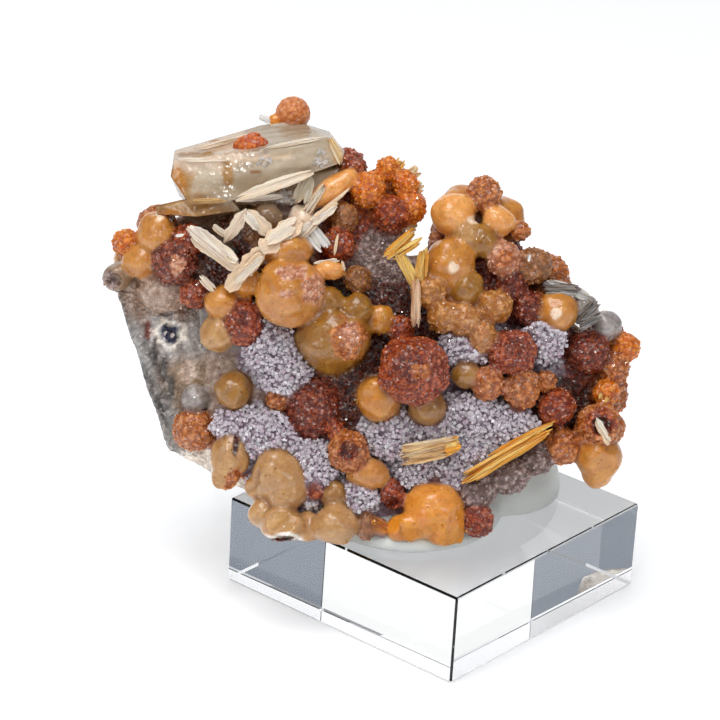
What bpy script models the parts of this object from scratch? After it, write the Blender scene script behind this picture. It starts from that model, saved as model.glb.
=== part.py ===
"""A smithsonite specimen with fluorite and celestite, stuck with putty on a clear block.

A broken piece of grey rock carries a crust of round smithsonite lumps on the side it is shown
from. Fluorite cubes line the recesses between the lumps, and celestite laths and one big tabular
crystal stand among them. The block's underside rests on z = 0, with its centre at the origin.

Places on the specimen are given as a viewer in front of it sees them: right, up and out towards
the eye, in millimetres. The viewer stands on the -Y side and looks down on it a little.
"""

import math
import random
from collections import namedtuple

import bmesh
import bpy
from mathutils import Matrix, Vector, noise

MM = 0.001

# Driving dimensions, in millimetres and degrees
BLOCK_SIDE = 38.1
BLOCK_HEIGHT = 12.0
BLOCK_TURN = 50.5
BLOCK_EDGE = 0.25
SEAT_HEIGHT = 13.4

# Room left between two pieces, and the room for what grows on the crust's uneven surface
GAP = 0.3
ROOMY_GAP = 0.6

# The viewer: how far down and how askew they look, how far off, and the point they look at
VIEW_DOWN = 23.7
VIEW_ROLL = 3.3
VIEW_REACH = 385.0
VIEW_CENTRE = Vector((-11.0, 0.0, 31.4))

# The shown face stands more upright than the plane square to the view, from its foot upwards
FACE_FOOT = -22.0
FACE_RISE = 0.15

_down = math.radians(VIEW_DOWN)
_roll = math.radians(VIEW_ROLL)
OUT = Vector((0.0, -math.cos(_down), math.sin(_down)))
LEVEL_UP = Vector((0.0, math.sin(_down), math.cos(_down)))
RIGHT = math.cos(_roll) * Vector((1.0, 0.0, 0.0)) + math.sin(_roll) * LEVEL_UP
UP = math.cos(_roll) * LEVEL_UP - math.sin(_roll) * Vector((1.0, 0.0, 0.0))
VIEW_TURN = Matrix((RIGHT, UP, OUT)).transposed()

# How far a lump strays from round, and over how short a stretch
LUMP_UNEVENNESS = 0.07
LUMP_RIPPLE = 1.3
FINE_LUMP_RADIUS = 2.95

# A lump: its place, its radius, and how much wider, taller and deeper than round it is
Lump = namedtuple(
    "Lump", "right up out radius wide tall deep turn", defaults=(1.0, 1.0, 1.0, 0.0)
)

UPPER_LEFT_KNOBS = (
    Lump(-29.9, 15.0, -2.0, 1.9),
    Lump(-26.1, 16.2, -0.5, 2.6),
    Lump(-28.1, 12.6, -0.5, 2.2),
    Lump(-23.8, 12.6, 0.8, 2.9),
    Lump(-31.0, 10.6, -1.5, 1.9),
    Lump(-22.0, 15.4, 0.8, 2.0),
    Lump(-21.2, 8.4, 1.5, 1.9),
    Lump(-25.0, 8.8, -0.6, 2.7, wide=1.3, deep=0.8),
)

LEFT_GROUP = (
    Lump(-17.5, 7.4, 3.2, 2.3),
    Lump(-18.4, 3.3, 3.2, 2.4),
    Lump(-15.0, 4.9, 3.8, 2.6, tall=1.15),
    Lump(-14.4, 10.0, 4.2, 1.9),
    Lump(-9.0, 8.7, 5.4, 4.4),
    Lump(-9.3, 14.0, 4.0, 3.3, tall=0.6),
    Lump(-16.3, -3.9, 3.4, 2.5, wide=0.9),
    Lump(-21.3, -4.9, 0.8, 1.8),
    Lump(-21.4, -9.0, 0.8, 2.9, tall=0.9),
    Lump(-10.7, -5.1, 4.0, 1.5),
)

LOWER_LEFT = (
    Lump(-16.7, -12.2, 4.2, 2.5, tall=1.15),
    Lump(-17.3, -15.0, 4.6, 1.7),
    Lump(-10.6, -14.8, 5.4, 3.3),
    Lump(-9.6, -17.2, 6.0, 2.4),
    Lump(-9.9, -21.1, 7.2, 3.1, tall=0.68),
    Lump(-3.3, -21.2, 7.2, 3.0, tall=0.85),
    Lump(0.8, -21.4, 6.6, 1.5, tall=1.2),
    Lump(-3.2, -17.6, 5.6, 1.7, tall=1.2),
    Lump(-6.1, -6.2, 3.4, 3.6, tall=1.1, deep=0.8),
    Lump(-5.8, -16.6, 5.6, 1.3),
    Lump(-1.4, -11.7, 6.0, 2.7),
    Lump(-3.1, -9.0, 5.2, 1.3),
    Lump(1.0, -14.4, 5.2, 2.0, wide=1.3),
    Lump(4.2, -17.2, 5.0, 1.6, tall=1.2),
)

OLIVE_GROUP = (
    Lump(-3.5, 2.6, 3.6, 4.6, tall=0.87),
    Lump(-1.4, 2.7, 5.4, 2.9),
    Lump(-3.9, 7.6, 4.6, 1.9),
    Lump(-0.3, 6.6, 4.6, 2.0),
    Lump(2.7, 5.2, 4.0, 1.6, tall=1.3),
    Lump(5.2, 3.9, 3.6, 1.8),
    Lump(-3.9, 11.6, 4.2, 1.9, tall=0.7, turn=-12.0),
    Lump(-0.3, 10.4, 2.6, 1.8),
)

CENTRE_GROUP = (
    Lump(6.9, -1.4, 6.4, 4.5),
    Lump(2.4, -4.9, 5.0, 2.9),
    Lump(8.6, -5.9, 4.6, 2.5),
    Lump(9.0, 8.9, 2.6, 2.3),
    Lump(10.8, 5.6, 3.4, 2.1),
    Lump(13.2, 5.2, 3.6, 2.1),
    Lump(15.8, 3.0, 3.6, 2.0),
    Lump(17.3, 6.9, 2.8, 2.2),
    Lump(13.5, -1.8, 3.6, 1.9),
    Lump(16.4, -3.0, 4.0, 2.1),
    Lump(19.5, 1.1, 3.2, 3.1, tall=0.93),
    Lump(20.6, -3.7, 3.0, 2.3, tall=1.2),
    Lump(23.8, -2.6, 1.8, 1.4),
)

LOWER_RIGHT = (
    Lump(9.4, -19.4, 5.0, 3.8, deep=0.9),
    Lump(6.0, -21.6, 5.6, 2.7, tall=0.7),
    Lump(11.0, -22.2, 5.8, 2.4, tall=0.9),
    Lump(15.2, -20.6, 4.6, 2.1),
    Lump(15.0, -16.6, 3.4, 2.6),
    Lump(19.0, -14.6, 2.8, 2.8, tall=0.9),
    Lump(22.6, -12.6, 1.6, 2.2),
    Lump(25.2, -6.1, 1.6, 2.3),
    Lump(30.8, -8.4, 1.2, 3.1, tall=0.9),
    Lump(30.6, -12.4, 0.4, 3.0),
    Lump(30.4, -14.2, 0.2, 2.0),
    Lump(26.0, -11.0, 1.0, 2.4),
    Lump(31.6, -4.2, -0.6, 1.7),
)

RIGHT_EDGE = (
    Lump(25.3, 6.3, 0.4, 2.6),
    Lump(22.0, 6.6, 0.2, 2.3),
    Lump(34.0, 1.6, -3.6, 2.0),
    Lump(32.6, -1.0, -2.4, 2.1),
    Lump(29.4, 1.0, -1.4, 2.8),
    Lump(31.6, 4.4, -2.6, 1.9),
    Lump(28.6, 6.6, -1.4, 2.0),
)

UPPER_RIGHT = (
    Lump(15.8, 21.2, -1.4, 2.3),
    Lump(12.0, 18.6, -0.2, 2.8),
    Lump(13.4, 16.4, 0.8, 2.0),
    Lump(17.7, 17.9, -0.6, 2.0),
    Lump(20.6, 16.6, -1.4, 1.3),
    Lump(15.5, 15.4, 0.8, 2.1),
    Lump(18.5, 13.1, 0.8, 2.3),
    Lump(11.7, 12.5, 1.6, 3.2),
    Lump(13.6, 9.2, 2.2, 2.2),
    Lump(22.3, 12.0, -0.6, 2.3),
    Lump(19.4, 9.6, 0.2, 2.0),
)

UPPER_MIDDLE = (
    Lump(4.1, 18.7, -0.6, 2.3),
    Lump(1.0, 22.0, -0.8, 2.3),
    Lump(-1.2, 24.6, -1.6, 1.6),
    Lump(3.6, 24.6, -2.2, 1.6),
    Lump(5.9, 22.8, -2.2, 1.7),
    Lump(6.4, 19.6, -2.0, 2.1),
    Lump(-2.2, 18.4, 0.4, 1.9),
    Lump(-3.0, 14.9, 1.4, 2.2),
    Lump(-3.6, 21.9, 0.4, 1.9, wide=2.1, tall=0.8, turn=38.0),
    Lump(-11.8, 18.4, 2.4, 1.7),
    Lump(-7.4, 18.0, 1.0, 1.9),
)

# Lumps that wrap a little way round the top, the sides and the back
WRAPPING = (
    Lump(-29.0, 13.0, -5.0, 2.6),
    Lump(-26.0, 17.4, -4.6, 2.6),
    Lump(18.0, 18.0, -4.4, 3.0),
    Lump(13.0, 19.6, -4.2, 2.8),
    Lump(24.0, 10.4, -4.4, 3.0),
    Lump(31.0, 3.4, -6.4, 2.8),
    Lump(31.6, -4.0, -4.6, 2.8),
    Lump(30.6, -9.0, -3.2, 3.0),
    Lump(4.0, 22.0, -5.4, 3.0),
    Lump(-2.0, 24.4, -5.8, 2.8),
)

SMITHSONITE_LUMPS = (
    UPPER_LEFT_KNOBS
    + LEFT_GROUP
    + LOWER_LEFT
    + OLIVE_GROUP
    + CENTRE_GROUP
    + LOWER_RIGHT
    + RIGHT_EDGE
    + UPPER_RIGHT
    + UPPER_MIDDLE
    + WRAPPING
)

TOP_BALL = (
    Lump(-8.6, 31.6, -6.6, 2.2),
    Lump(-10.9, 30.6, -6.2, 1.0),
)
DOME = (Lump(-13.9, 27.4, 0.2, 1.5, wide=1.6),)

# The crust's floor between the lumps, as the corners of convex slabs
CRUST_SLABS = (
    (
        (-21.0, 12.0, 0.0), (-19.0, -12.0, 1.6), (-9.0, -20.0, 4.6), (9.0, -20.0, 3.4),
        (17.0, -17.0, 1.8), (28.0, -11.0, -1.0), (31.0, 0.0, -2.8), (23.0, 9.0, -1.4),
        (9.0, 12.0, 0.4), (-6.0, 16.0, 0.6), (0.0, 0.0, 3.4), (-10.0, 0.0, 2.8),
    ),
    (
        (-30.0, 11.0, -2.4), (-28.0, 16.0, -2.4), (-20.0, 17.0, -0.6), (-17.0, 8.0, 1.6),
        (-24.0, 7.0, -1.6),
    ),
    (
        (-18.0, 18.0, -0.6), (-10.0, 21.0, -1.0), (-1.0, 23.4, -2.4), (5.0, 22.0, -3.0),
        (6.0, 12.0, 0.0), (-14.0, 12.0, 1.4),
    ),
    (
        (9.6, 18.0, -2.6), (15.0, 20.4, -3.2), (20.0, 16.0, -3.0), (22.4, 11.0, -2.4),
        (17.0, 6.0, 1.2), (7.4, 9.0, 0.8),
    ),
)
CRUST_DEPTH = 5.0

# The share of its triangles that the crust keeps before its sockets are cut
CRUST_SHARE = 0.19

# The rock behind: each chunk is broken along flat faces, given by the chunk's corners
ROCK_CHUNKS = (
    (
        (-31.6, 9.4, -2.6), (-29.9, 5.6, -1.6), (-28.8, 1.6, -1.4), (-26.1, -5.4, -1.2),
        (-24.2, -11.4, -1.2), (-20.6, -13.8, 0.0), (-9.0, -19.6, 3.4), (8.0, -19.6, 2.0),
        (18.0, -15.6, -0.4), (27.0, -10.0, -3.4), (30.6, 1.0, -5.4), (22.0, 9.6, -4.4),
        (8.0, 13.0, -1.6), (-24.0, 15.0, -3.4), (-4.0, 0.0, 1.0),
        (-29.0, 8.0, -11.0), (-23.0, -4.0, -14.0), (-12.0, -7.0, -21.0), (6.0, -6.0, -23.0),
        (19.0, -4.0, -19.0), (27.0, 1.0, -12.0), (16.0, 11.0, -17.0), (0.0, 13.0, -20.0),
        (-18.0, 12.0, -17.0),
    ),
    (
        (-27.0, 16.4, -4.4), (-17.0, 20.4, -4.0), (-8.0, 25.0, -4.6), (1.0, 23.0, -5.0),
        (6.0, 17.0, -3.6), (-24.0, 11.0, -3.0), (-20.0, 19.0, -10.0), (-8.0, 26.0, -10.6),
        (2.0, 21.0, -10.0), (-12.0, 13.0, -18.0), (2.0, 12.0, -17.0), (4.0, 8.0, -4.0),
    ),
    (
        (10.0, 16.0, -3.6), (15.0, 19.0, -5.0), (20.0, 15.0, -5.0), (23.0, 10.0, -5.4),
        (9.0, 10.0, -3.0), (12.0, 15.0, -10.4), (18.0, 13.0, -11.0), (10.0, 7.0, -14.0),
        (20.0, 6.0, -12.0),
    ),
)
ROCK_FACE = 8.8
ROCK_ROUGHNESS = 0.5
ROCK_RIPPLE = 160.0

# Celestite. A lath runs from one end to the other and has a width and a thickness
Lath = namedtuple("Lath", "start end wide thick tip", defaults=(0.55,))

TABLE_CORNERS = (
    (-23.9, 25.6, 1.4), (-17.7, 25.6, 2.2), (-12.6, 27.0, 2.4), (-7.7, 27.4, 2.2),
    (-4.0, 28.5, 1.2), (-23.8, 26.9, -2.0), (-12.6, 30.2, -5.4), (-7.6, 30.5, -5.8),
    (-3.9, 29.3, -5.0), (-2.0, 26.9, -2.8), (-24.3, 23.6, 1.6), (-21.9, 20.0, 2.8),
    (-17.2, 20.2, 3.4), (-2.2, 25.4, 0.8), (-23.2, 21.0, -3.6), (-14.0, 21.6, -6.0),
    (-3.0, 25.2, -5.6),
)
STEP_CORNERS = (
    (-26.3, 19.8, 0.6), (-22.8, 20.6, 1.6), (-16.6, 20.6, 2.4), (-15.4, 19.2, 2.4),
    (-21.0, 18.4, 2.6), (-26.0, 18.7, 0.8), (-25.4, 20.0, -3.4), (-16.0, 21.4, -3.6),
    (-24.8, 18.6, -3.2), (-15.6, 19.0, -2.4),
)

LEDGE_CORNERS = (
    (-21.0, 20.8, 0.6), (-16.0, 20.6, 1.4), (-8.4, 20.2, 1.4), (-4.6, 21.4, 0.8),
    (-2.6, 24.6, -0.4), (-19.0, 22.6, -3.0), (-3.0, 25.0, -3.6), (-9.0, 19.6, -3.0),
    (-17.0, 20.0, -3.0),
)

LATHS = {
    "celestite_lath_upper": (
        Lath((-17.4, 20.2, 5.4), (-5.4, 24.3, 2.2), 1.1, 0.8),
    ),
    "celestite_lath_middle": (
        Lath((-6.8, 17.2, 4.6), (-2.6, 20.2, 2.6), 1.1, 0.7),
    ),
    "celestite_blade_left": (
        Lath((-22.6, 17.9, 3.4), (-15.8, 11.8, 6.2), 1.5, 0.9),
        Lath((-21.4, 16.0, 3.0), (-18.4, 14.0, 4.6), 1.2, 1.0),
    ),
    "celestite_chevron": (
        Lath((-14.6, 19.6, 5.6), (-17.6, 14.8, 4.4), 1.2, 0.9),
        Lath((-14.9, 19.7, 5.8), (-11.2, 15.9, 5.2), 1.3, 0.9),
    ),
    "celestite_blade_low": (
        Lath((-16.9, 9.4, 5.6), (-12.1, 14.4, 7.2), 1.2, 0.7),
        Lath((-12.9, 14.2, 7.4), (-7.6, 17.6, 5.4), 1.3, 0.8),
    ),
    "celestite_fan": (
        Lath((3.4, 13.0, 4.0), (7.6, 16.2, 4.6), 2.2, 1.0),
        Lath((7.7, 9.8, 3.6), (8.2, 14.4, 5.0), 1.5, 1.0),
        Lath((7.4, 9.2, 3.6), (4.8, 14.0, 4.6), 1.4, 1.0),
        Lath((7.4, 11.0, 4.2), (7.0, 4.4, 5.6), 1.2, 0.9),
    ),
    "celestite_lath_long": (
        Lath((13.1, -15.6, 6.6), (24.2, -9.0, 4.4), 1.8, 1.2),
        Lath((16.8, -12.6, 5.6), (25.0, -8.2, 3.8), 1.1, 0.9),
    ),
    "celestite_bundle": (
        Lath((5.0, -11.8, 7.0), (12.6, -10.2, 7.2), 1.5, 1.3, 0.7),
        Lath((5.4, -12.9, 6.6), (12.4, -11.6, 7.0), 1.5, 1.3, 0.7),
        Lath((6.0, -10.8, 6.4), (11.0, -9.4, 6.6), 1.2, 1.2, 0.7),
    ),
    "celestite_needle": (
        Lath((30.1, -7.2, 3.4), (32.1, -10.8, 4.2), 0.9, 0.8, 0.8),
    ),
    "celestite_fan_right": (
        Lath((27.7, 5.0, 0.2), (30.4, 7.6, 1.2), 1.4, 1.0),
        Lath((28.0, 4.2, 0.4), (31.0, 5.8, 1.2), 1.3, 1.0),
    ),
    "celestite_clear_right": (
        Lath((23.6, 9.2, 0.6), (28.4, 9.0, 0.6), 1.6, 1.4),
        Lath((24.0, 10.2, 0.2), (29.8, 7.8, -0.6), 1.2, 1.6),
    ),
}

# How far the big crystal's socket stands off from it, in gaps
SOCKET_PUSH = 1.6

# Fluorite patches: place, half width, half height and how many cubes show on each
Patch = namedtuple("Patch", "right up out wide tall cubes")
FLUORITE_DRUSE = {
    "fluorite_druse_upper": (
        Patch(-11.2, 1.6, 4.3, 3.2, 3.6, 8),
        Patch(-9.6, -1.8, 4.5, 3.0, 3.0, 7),
    ),
    "fluorite_druse_left": (
        Patch(-15.8, -8.6, 4.4, 3.0, 2.6, 7),
        Patch(-11.4, -9.8, 5.2, 3.4, 3.2, 9),
    ),
    "fluorite_druse_lower": (
        Patch(-6.4, -14.2, 5.6, 3.2, 4.2, 10),
    ),
    "fluorite_druse_foot": (
        Patch(-0.2, -17.6, 6.0, 2.2, 2.6, 5),
    ),
    "fluorite_druse_middle": (
        Patch(4.4, -9.4, 4.8, 4.4, 3.0, 9),
        Patch(9.4, -9.0, 4.6, 2.6, 2.6, 5),
        Patch(13.6, -7.4, 4.0, 4.0, 3.0, 8),
        Patch(18.4, -8.6, 3.2, 4.0, 2.8, 7),
        Patch(13.6, -12.0, 4.2, 3.0, 2.6, 5),
        Patch(9.6, -14.6, 4.8, 4.6, 2.4, 6),
    ),
    "fluorite_druse_side": (
        Patch(13.6, 1.8, 3.6, 3.0, 2.4, 6),
    ),
    "fluorite_druse_right": (
        Patch(23.6, 2.6, 2.0, 2.2, 2.8, 6),
    ),
}
DRUSE_DEPTH = 1.5
MOUND_SINK = 0.6
CUBE_SIDE = 1.5
CUBE_SIZES = (0.8, 1.15)
CUBE_SPREAD = 0.85
CUBE_SINK = 0.9
SPIRAL_STEP = math.radians(137.5)

# The share of their triangles that the putty and the druse keep
THINNED_SHARE = 0.42

# The putty: a flat pad under the stone and a thicker lump under its raised right side
PUTTY_PADS = (
    ((-4.0, -2.0, 12.3), 12.6, 13.4, 4.0),
    ((8.2, 6.0, 12.3), 8.2, 9.4, 8.5),
)

for old in list(bpy.data.objects):
    bpy.data.objects.remove(old)

PARTS = bpy.data.collections.new("smithsonite_specimen")
BENCH = bpy.data.collections.new("workshop")
bpy.context.scene.collection.children.link(PARTS)
bpy.context.scene.collection.children.link(BENCH)


def seen(right, up, out):
    """The place in space of a point that the viewer sees this far right, up and out."""
    out += FACE_RISE * (up - FACE_FOOT)
    nearer = (VIEW_REACH - out) / VIEW_REACH
    return (VIEW_CENTRE + (RIGHT * right + UP * up) * nearer + OUT * out) * MM


def finish(name, colour, roughness, transmission=0.0):
    """A plain coat of colour for one piece."""
    coat = bpy.data.materials.new(name)
    coat.use_nodes = True
    shader = coat.node_tree.nodes["Principled BSDF"]
    shader.inputs["Base Color"].default_value = (*colour, 1.0)
    shader.inputs["Roughness"].default_value = roughness
    shader.inputs["Transmission Weight"].default_value = transmission
    return coat


def thing(name, shape):
    """Turns a bmesh into an object on the bench."""
    mesh = bpy.data.meshes.new(name)
    shape.to_mesh(mesh)
    shape.free()
    made = bpy.data.objects.new(name, mesh)
    BENCH.objects.link(made)
    return made


def ball(lump, grow=0.0):
    """A slightly uneven round lump, each half axis longer by grow."""
    shape = bmesh.new()
    rounds = 3 if lump.radius > FINE_LUMP_RADIUS else 2
    bmesh.ops.create_icosphere(shape, subdivisions=rounds, radius=1.0)
    place = seen(lump.right, lump.up, lump.out)
    nearer = (VIEW_REACH - lump.out) / VIEW_REACH
    radii = [lump.radius * stretch * nearer + grow for stretch in (lump.wide, lump.tall, lump.deep)]
    apart = place / MM * 0.4
    for vert in shape.verts:
        uneven = 1.0 + LUMP_UNEVENNESS * noise.noise(vert.co * LUMP_RIPPLE + apart)
        vert.co = Vector(c * r * uneven * MM for c, r in zip(vert.co, radii))
    turned = VIEW_TURN @ Matrix.Rotation(math.radians(lump.turn), 3, "Z")
    shape.transform(Matrix.Translation(place) @ turned.to_4x4())
    return thing("lump", shape)


def hull(points, grow=0.0):
    """The solid that is stretched over a set of corners, its flat sides moved out by grow."""
    shape = bmesh.new()
    for point in points:
        shape.verts.new(point)
    wrapped = bmesh.ops.convex_hull(shape, input=shape.verts)
    inside = {v for v in wrapped["geom_interior"] if isinstance(v, bmesh.types.BMVert)}
    bmesh.ops.delete(shape, geom=list(inside), context="VERTS")
    bmesh.ops.recalc_face_normals(shape, faces=shape.faces)
    shape.normal_update()
    corner_push = math.sqrt(3.0) * grow * MM
    for vert in shape.verts:
        vert.co += vert.normal * corner_push
    return thing("hull", shape)


def seen_hull(corners):
    """A solid over corners that are given as the viewer sees them."""
    return hull([seen(*corner) for corner in corners])


def lath(blade, grow=0.0):
    """A flat crystal with a long middle and a narrower tip at each end."""
    start = seen(*blade.start)
    end = seen(*blade.end)
    along = (end - start).normalized()
    start = start - along * grow * MM
    end = end + along * grow * MM
    across = OUT.cross(along).normalized()
    through = along.cross(across)
    shoulder = min(0.9 * blade.wide * MM, 0.3 * (end - start).length)
    wide = (blade.wide / 2 + grow) * MM
    thick = (blade.thick / 2 + grow) * MM
    points = []
    for middle, share in (
        (start, blade.tip), (start + along * shoulder, 1.0),
        (end - along * shoulder, 1.0), (end, blade.tip),
    ):
        for side in (-1, 1):
            for face in (-1, 1):
                points.append(middle + across * side * wide * share + through * face * thick * share)
    return hull(points)


def evaluated(target):
    """Settles an object's modifiers into its mesh."""
    depsgraph = bpy.context.evaluated_depsgraph_get()
    mesh = bpy.data.meshes.new_from_object(target.evaluated_get(depsgraph))
    target.modifiers.clear()
    target.data = mesh
    return target


def combined(target, others, operation):
    """Adds others to the target's solid, or cuts them out of it. The others stay as they are."""
    group = bpy.data.collections.new("group")
    bpy.context.scene.collection.children.link(group)
    for other in others:
        group.objects.link(other)
    step = target.modifiers.new("combine", "BOOLEAN")
    step.operation = operation
    step.operand_type = "COLLECTION"
    step.collection = group
    step.solver = "EXACT"
    evaluated(target)
    bpy.data.collections.remove(group)
    return target


def joined(pieces):
    """One solid out of solids that overlap."""
    if len(pieces) > 1:
        combined(pieces[0], pieces[1:], "UNION")
    for piece in pieces[1:]:
        bpy.data.objects.remove(piece)
    return pieces[0]


def islands(shape):
    """The sets of faces that hang together, largest first."""
    left = set(shape.faces)
    found = []
    while left:
        front = [left.pop()]
        island = list(front)
        while front:
            face = front.pop()
            for edge in face.edges:
                for other in edge.link_faces:
                    if other in left:
                        left.remove(other)
                        island.append(other)
                        front.append(other)
        found.append(island)
    return sorted(found, key=lambda faces: -sum(face.calc_area() for face in faces))


def tidied(target):
    """Merges points that meet, drops what came loose, closes cracks and leaves triangles."""
    shape = bmesh.new()
    shape.from_mesh(target.data)
    bmesh.ops.remove_doubles(shape, verts=shape.verts, dist=0.01 * MM)
    bmesh.ops.dissolve_degenerate(shape, edges=shape.edges, dist=0.01 * MM)
    loose = [face for island in islands(shape)[1:] for face in island]
    bmesh.ops.delete(shape, geom=loose, context="FACES")
    bmesh.ops.triangulate(shape, faces=shape.faces)
    flaps = [face for face in shape.faces
             if any(len(edge.link_faces) == 1 for edge in face.edges)
             and any(len(edge.link_faces) > 2 for edge in face.edges)]
    bmesh.ops.delete(shape, geom=flaps, context="FACES")
    rims = [edge for edge in shape.edges if edge.is_boundary]
    filled = bmesh.ops.holes_fill(shape, edges=rims)
    bmesh.ops.triangulate(shape, faces=filled["faces"])
    bmesh.ops.delete(shape, geom=[e for e in shape.edges if e.is_wire], context="EDGES")
    shape.to_mesh(target.data)
    shape.free()
    return target


def thinned(target, share):
    """Collapses short edges until this share of the triangles is left."""
    tidied(target)
    step = target.modifiers.new("thin", "DECIMATE")
    step.ratio = share
    return evaluated(target)


def cut_below(target, height):
    """Cuts an object off flat at a height and closes the cut."""
    shape = bmesh.new()
    shape.from_mesh(target.data)
    cut = bmesh.ops.bisect_plane(
        shape, geom=shape.verts[:] + shape.edges[:] + shape.faces[:],
        plane_co=(0.0, 0.0, height * MM), plane_no=(0.0, 0.0, 1.0), clear_inner=True,
    )
    rim = [edge for edge in cut["geom_cut"] if isinstance(edge, bmesh.types.BMEdge)]
    bmesh.ops.holes_fill(shape, edges=rim)
    bmesh.ops.recalc_face_normals(shape, faces=shape.faces)
    shape.to_mesh(target.data)
    shape.free()
    return target


def acrylic_block():
    """The stand: a square slab of clear acrylic with barely eased edges."""
    shape = bmesh.new()
    bmesh.ops.create_cube(shape, size=1.0)
    bmesh.ops.scale(shape, vec=Vector((BLOCK_SIDE, BLOCK_SIDE, BLOCK_HEIGHT)) * MM, verts=shape.verts)
    bmesh.ops.bevel(
        shape, geom=shape.edges, offset=BLOCK_EDGE * MM, segments=1, profile=0.5,
        affect="EDGES", material=-1,
    )
    turn = Matrix.Rotation(math.radians(BLOCK_TURN), 4, "Z")
    shape.transform(Matrix.Translation((0.0, 0.0, BLOCK_HEIGHT * MM / 2)) @ turn)
    return thing("block", shape)


def rock(grow=0.0):
    """The host rock: chunks with flat breaks, joined and roughened."""
    made = joined([seen_hull(chunk) for chunk in ROCK_CHUNKS])
    shape = bmesh.new()
    shape.from_mesh(made.data)
    bmesh.ops.triangulate(shape, faces=shape.faces)
    while True:
        long_edges = [edge for edge in shape.edges if edge.calc_length() > ROCK_FACE * MM]
        if not long_edges:
            break
        bmesh.ops.subdivide_edges(shape, edges=long_edges, cuts=1)
        bmesh.ops.triangulate(shape, faces=shape.faces)
    shape.normal_update()
    for vert in shape.verts:
        swell = ROCK_ROUGHNESS * noise.noise(vert.co * ROCK_RIPPLE)
        vert.co += vert.normal * (swell + grow) * MM
    shape.to_mesh(made.data)
    shape.free()
    return cut_below(made, SEAT_HEIGHT - grow)


def smithsonite(grow=0.0):
    """The crust: its floor slabs and all the lumps, grown together."""
    pieces = []
    for slab in CRUST_SLABS:
        front = [seen(right, up, out) for right, up, out in slab]
        rear = [seen(right, up, out - CRUST_DEPTH) for right, up, out in slab]
        pieces.append(hull(front + rear, grow))
    pieces += [ball(lump, grow) for lump in SMITHSONITE_LUMPS]
    made = tidied(joined(pieces))
    if not grow:
        thinned(made, CRUST_SHARE)
    return cut_below(made, SEAT_HEIGHT - grow)


def celestite_table():
    """The big tabular crystal at the upper left, with a thinner step and a ledge below it."""
    return joined([seen_hull(corners) for corners in (TABLE_CORNERS, STEP_CORNERS, LEDGE_CORNERS)])


def swollen(source):
    """A copy whose surface stands out by the gap, to cut a socket with."""
    shape = bmesh.new()
    shape.from_mesh(source.data)
    middle = sum((vert.co for vert in shape.verts), Vector()) / len(shape.verts)
    for vert in shape.verts:
        away = (vert.co - middle).normalized()
        vert.co += away * SOCKET_PUSH * GAP * MM
    return thing("swollen", shape)


def druse(patches, seed):
    """A crust of fluorite: low mounds with cubes standing on them."""
    draw = random.Random(seed)
    pieces = []
    for patch in patches:
        mound = Lump(patch.right, patch.up, patch.out - MOUND_SINK, DRUSE_DEPTH,
                     wide=patch.wide / DRUSE_DEPTH, tall=patch.tall / DRUSE_DEPTH)
        pieces.append(ball(mound))
        for number in range(patch.cubes):
            angle = number * SPIRAL_STEP
            spread = math.sqrt((number + 0.5) / patch.cubes) * CUBE_SPREAD
            rise = DRUSE_DEPTH * math.sqrt(1.0 - spread * spread) - CUBE_SINK
            place = seen(patch.right + patch.wide * spread * math.cos(angle),
                         patch.up + patch.tall * spread * math.sin(angle), patch.out + rise)
            turn = Matrix.Rotation(draw.uniform(0.0, math.pi), 4, (draw.random(), draw.random(), 0.4))
            shape = bmesh.new()
            bmesh.ops.create_cube(shape, size=CUBE_SIDE * draw.uniform(*CUBE_SIZES) * MM)
            shape.transform(Matrix.Translation(place) @ turn)
            pieces.append(thing("cube", shape))
    return joined(pieces)


def putty():
    """The putty: rounded pads pressed flat on the block."""
    pads = []
    for place, half_length, half_depth, height in PUTTY_PADS:
        shape = bmesh.new()
        bmesh.ops.create_icosphere(shape, subdivisions=2, radius=1.0)
        size = Matrix.Diagonal((half_length * MM, half_depth * MM, height * MM, 1.0))
        shape.transform(Matrix.Translation(Vector(place) * MM) @ size)
        pads.append(cut_below(thing("pad", shape), BLOCK_HEIGHT + GAP))
    return joined(pads)


COATS = {
    "acrylic": finish("clear_acrylic", (0.93, 0.95, 0.96), 0.05, transmission=1.0),
    "celestite": finish("celestite", (0.62, 0.52, 0.38), 0.3),
    "fluorite": finish("fluorite", (0.55, 0.50, 0.58), 0.3),
    "smithsonite": finish("smithsonite", (0.50, 0.29, 0.09), 0.45),
    "rock": finish("grey_rock", (0.33, 0.30, 0.27), 0.8),
    "putty": finish("white_putty", (0.75, 0.77, 0.74), 0.4),
}


def keep(name, made, coat, share=1.0):
    """Moves a finished piece from the bench to the parts, with its name and coat."""
    BENCH.objects.unlink(made)
    PARTS.objects.link(made)
    made.name = name
    made.data.name = name
    made.data.materials.clear()
    made.data.materials.append(COATS[coat])
    if share < 1.0:
        thinned(made, share)
    tidied(made)
    print(name, len(made.data.polygons), "triangles")


stone = rock()
crust = smithsonite()
table = celestite_table()
crystals = {name: joined([lath(blade) for blade in blades]) for name, blades in LATHS.items()}

# The same solids a little larger, to cut their neighbours back with
fat_stone = rock(GAP)
fat_crust = smithsonite(ROOMY_GAP)
fat_table = swollen(table)
fat_crystals = [joined([lath(blade, GAP) for blade in blades]) for blades in LATHS.values()]

combined(crust, [fat_stone, fat_table], "DIFFERENCE")
combined(crust, fat_crystals, "DIFFERENCE")
combined(stone, [fat_table], "DIFFERENCE")
combined(stone, fat_crystals, "DIFFERENCE")

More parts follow.
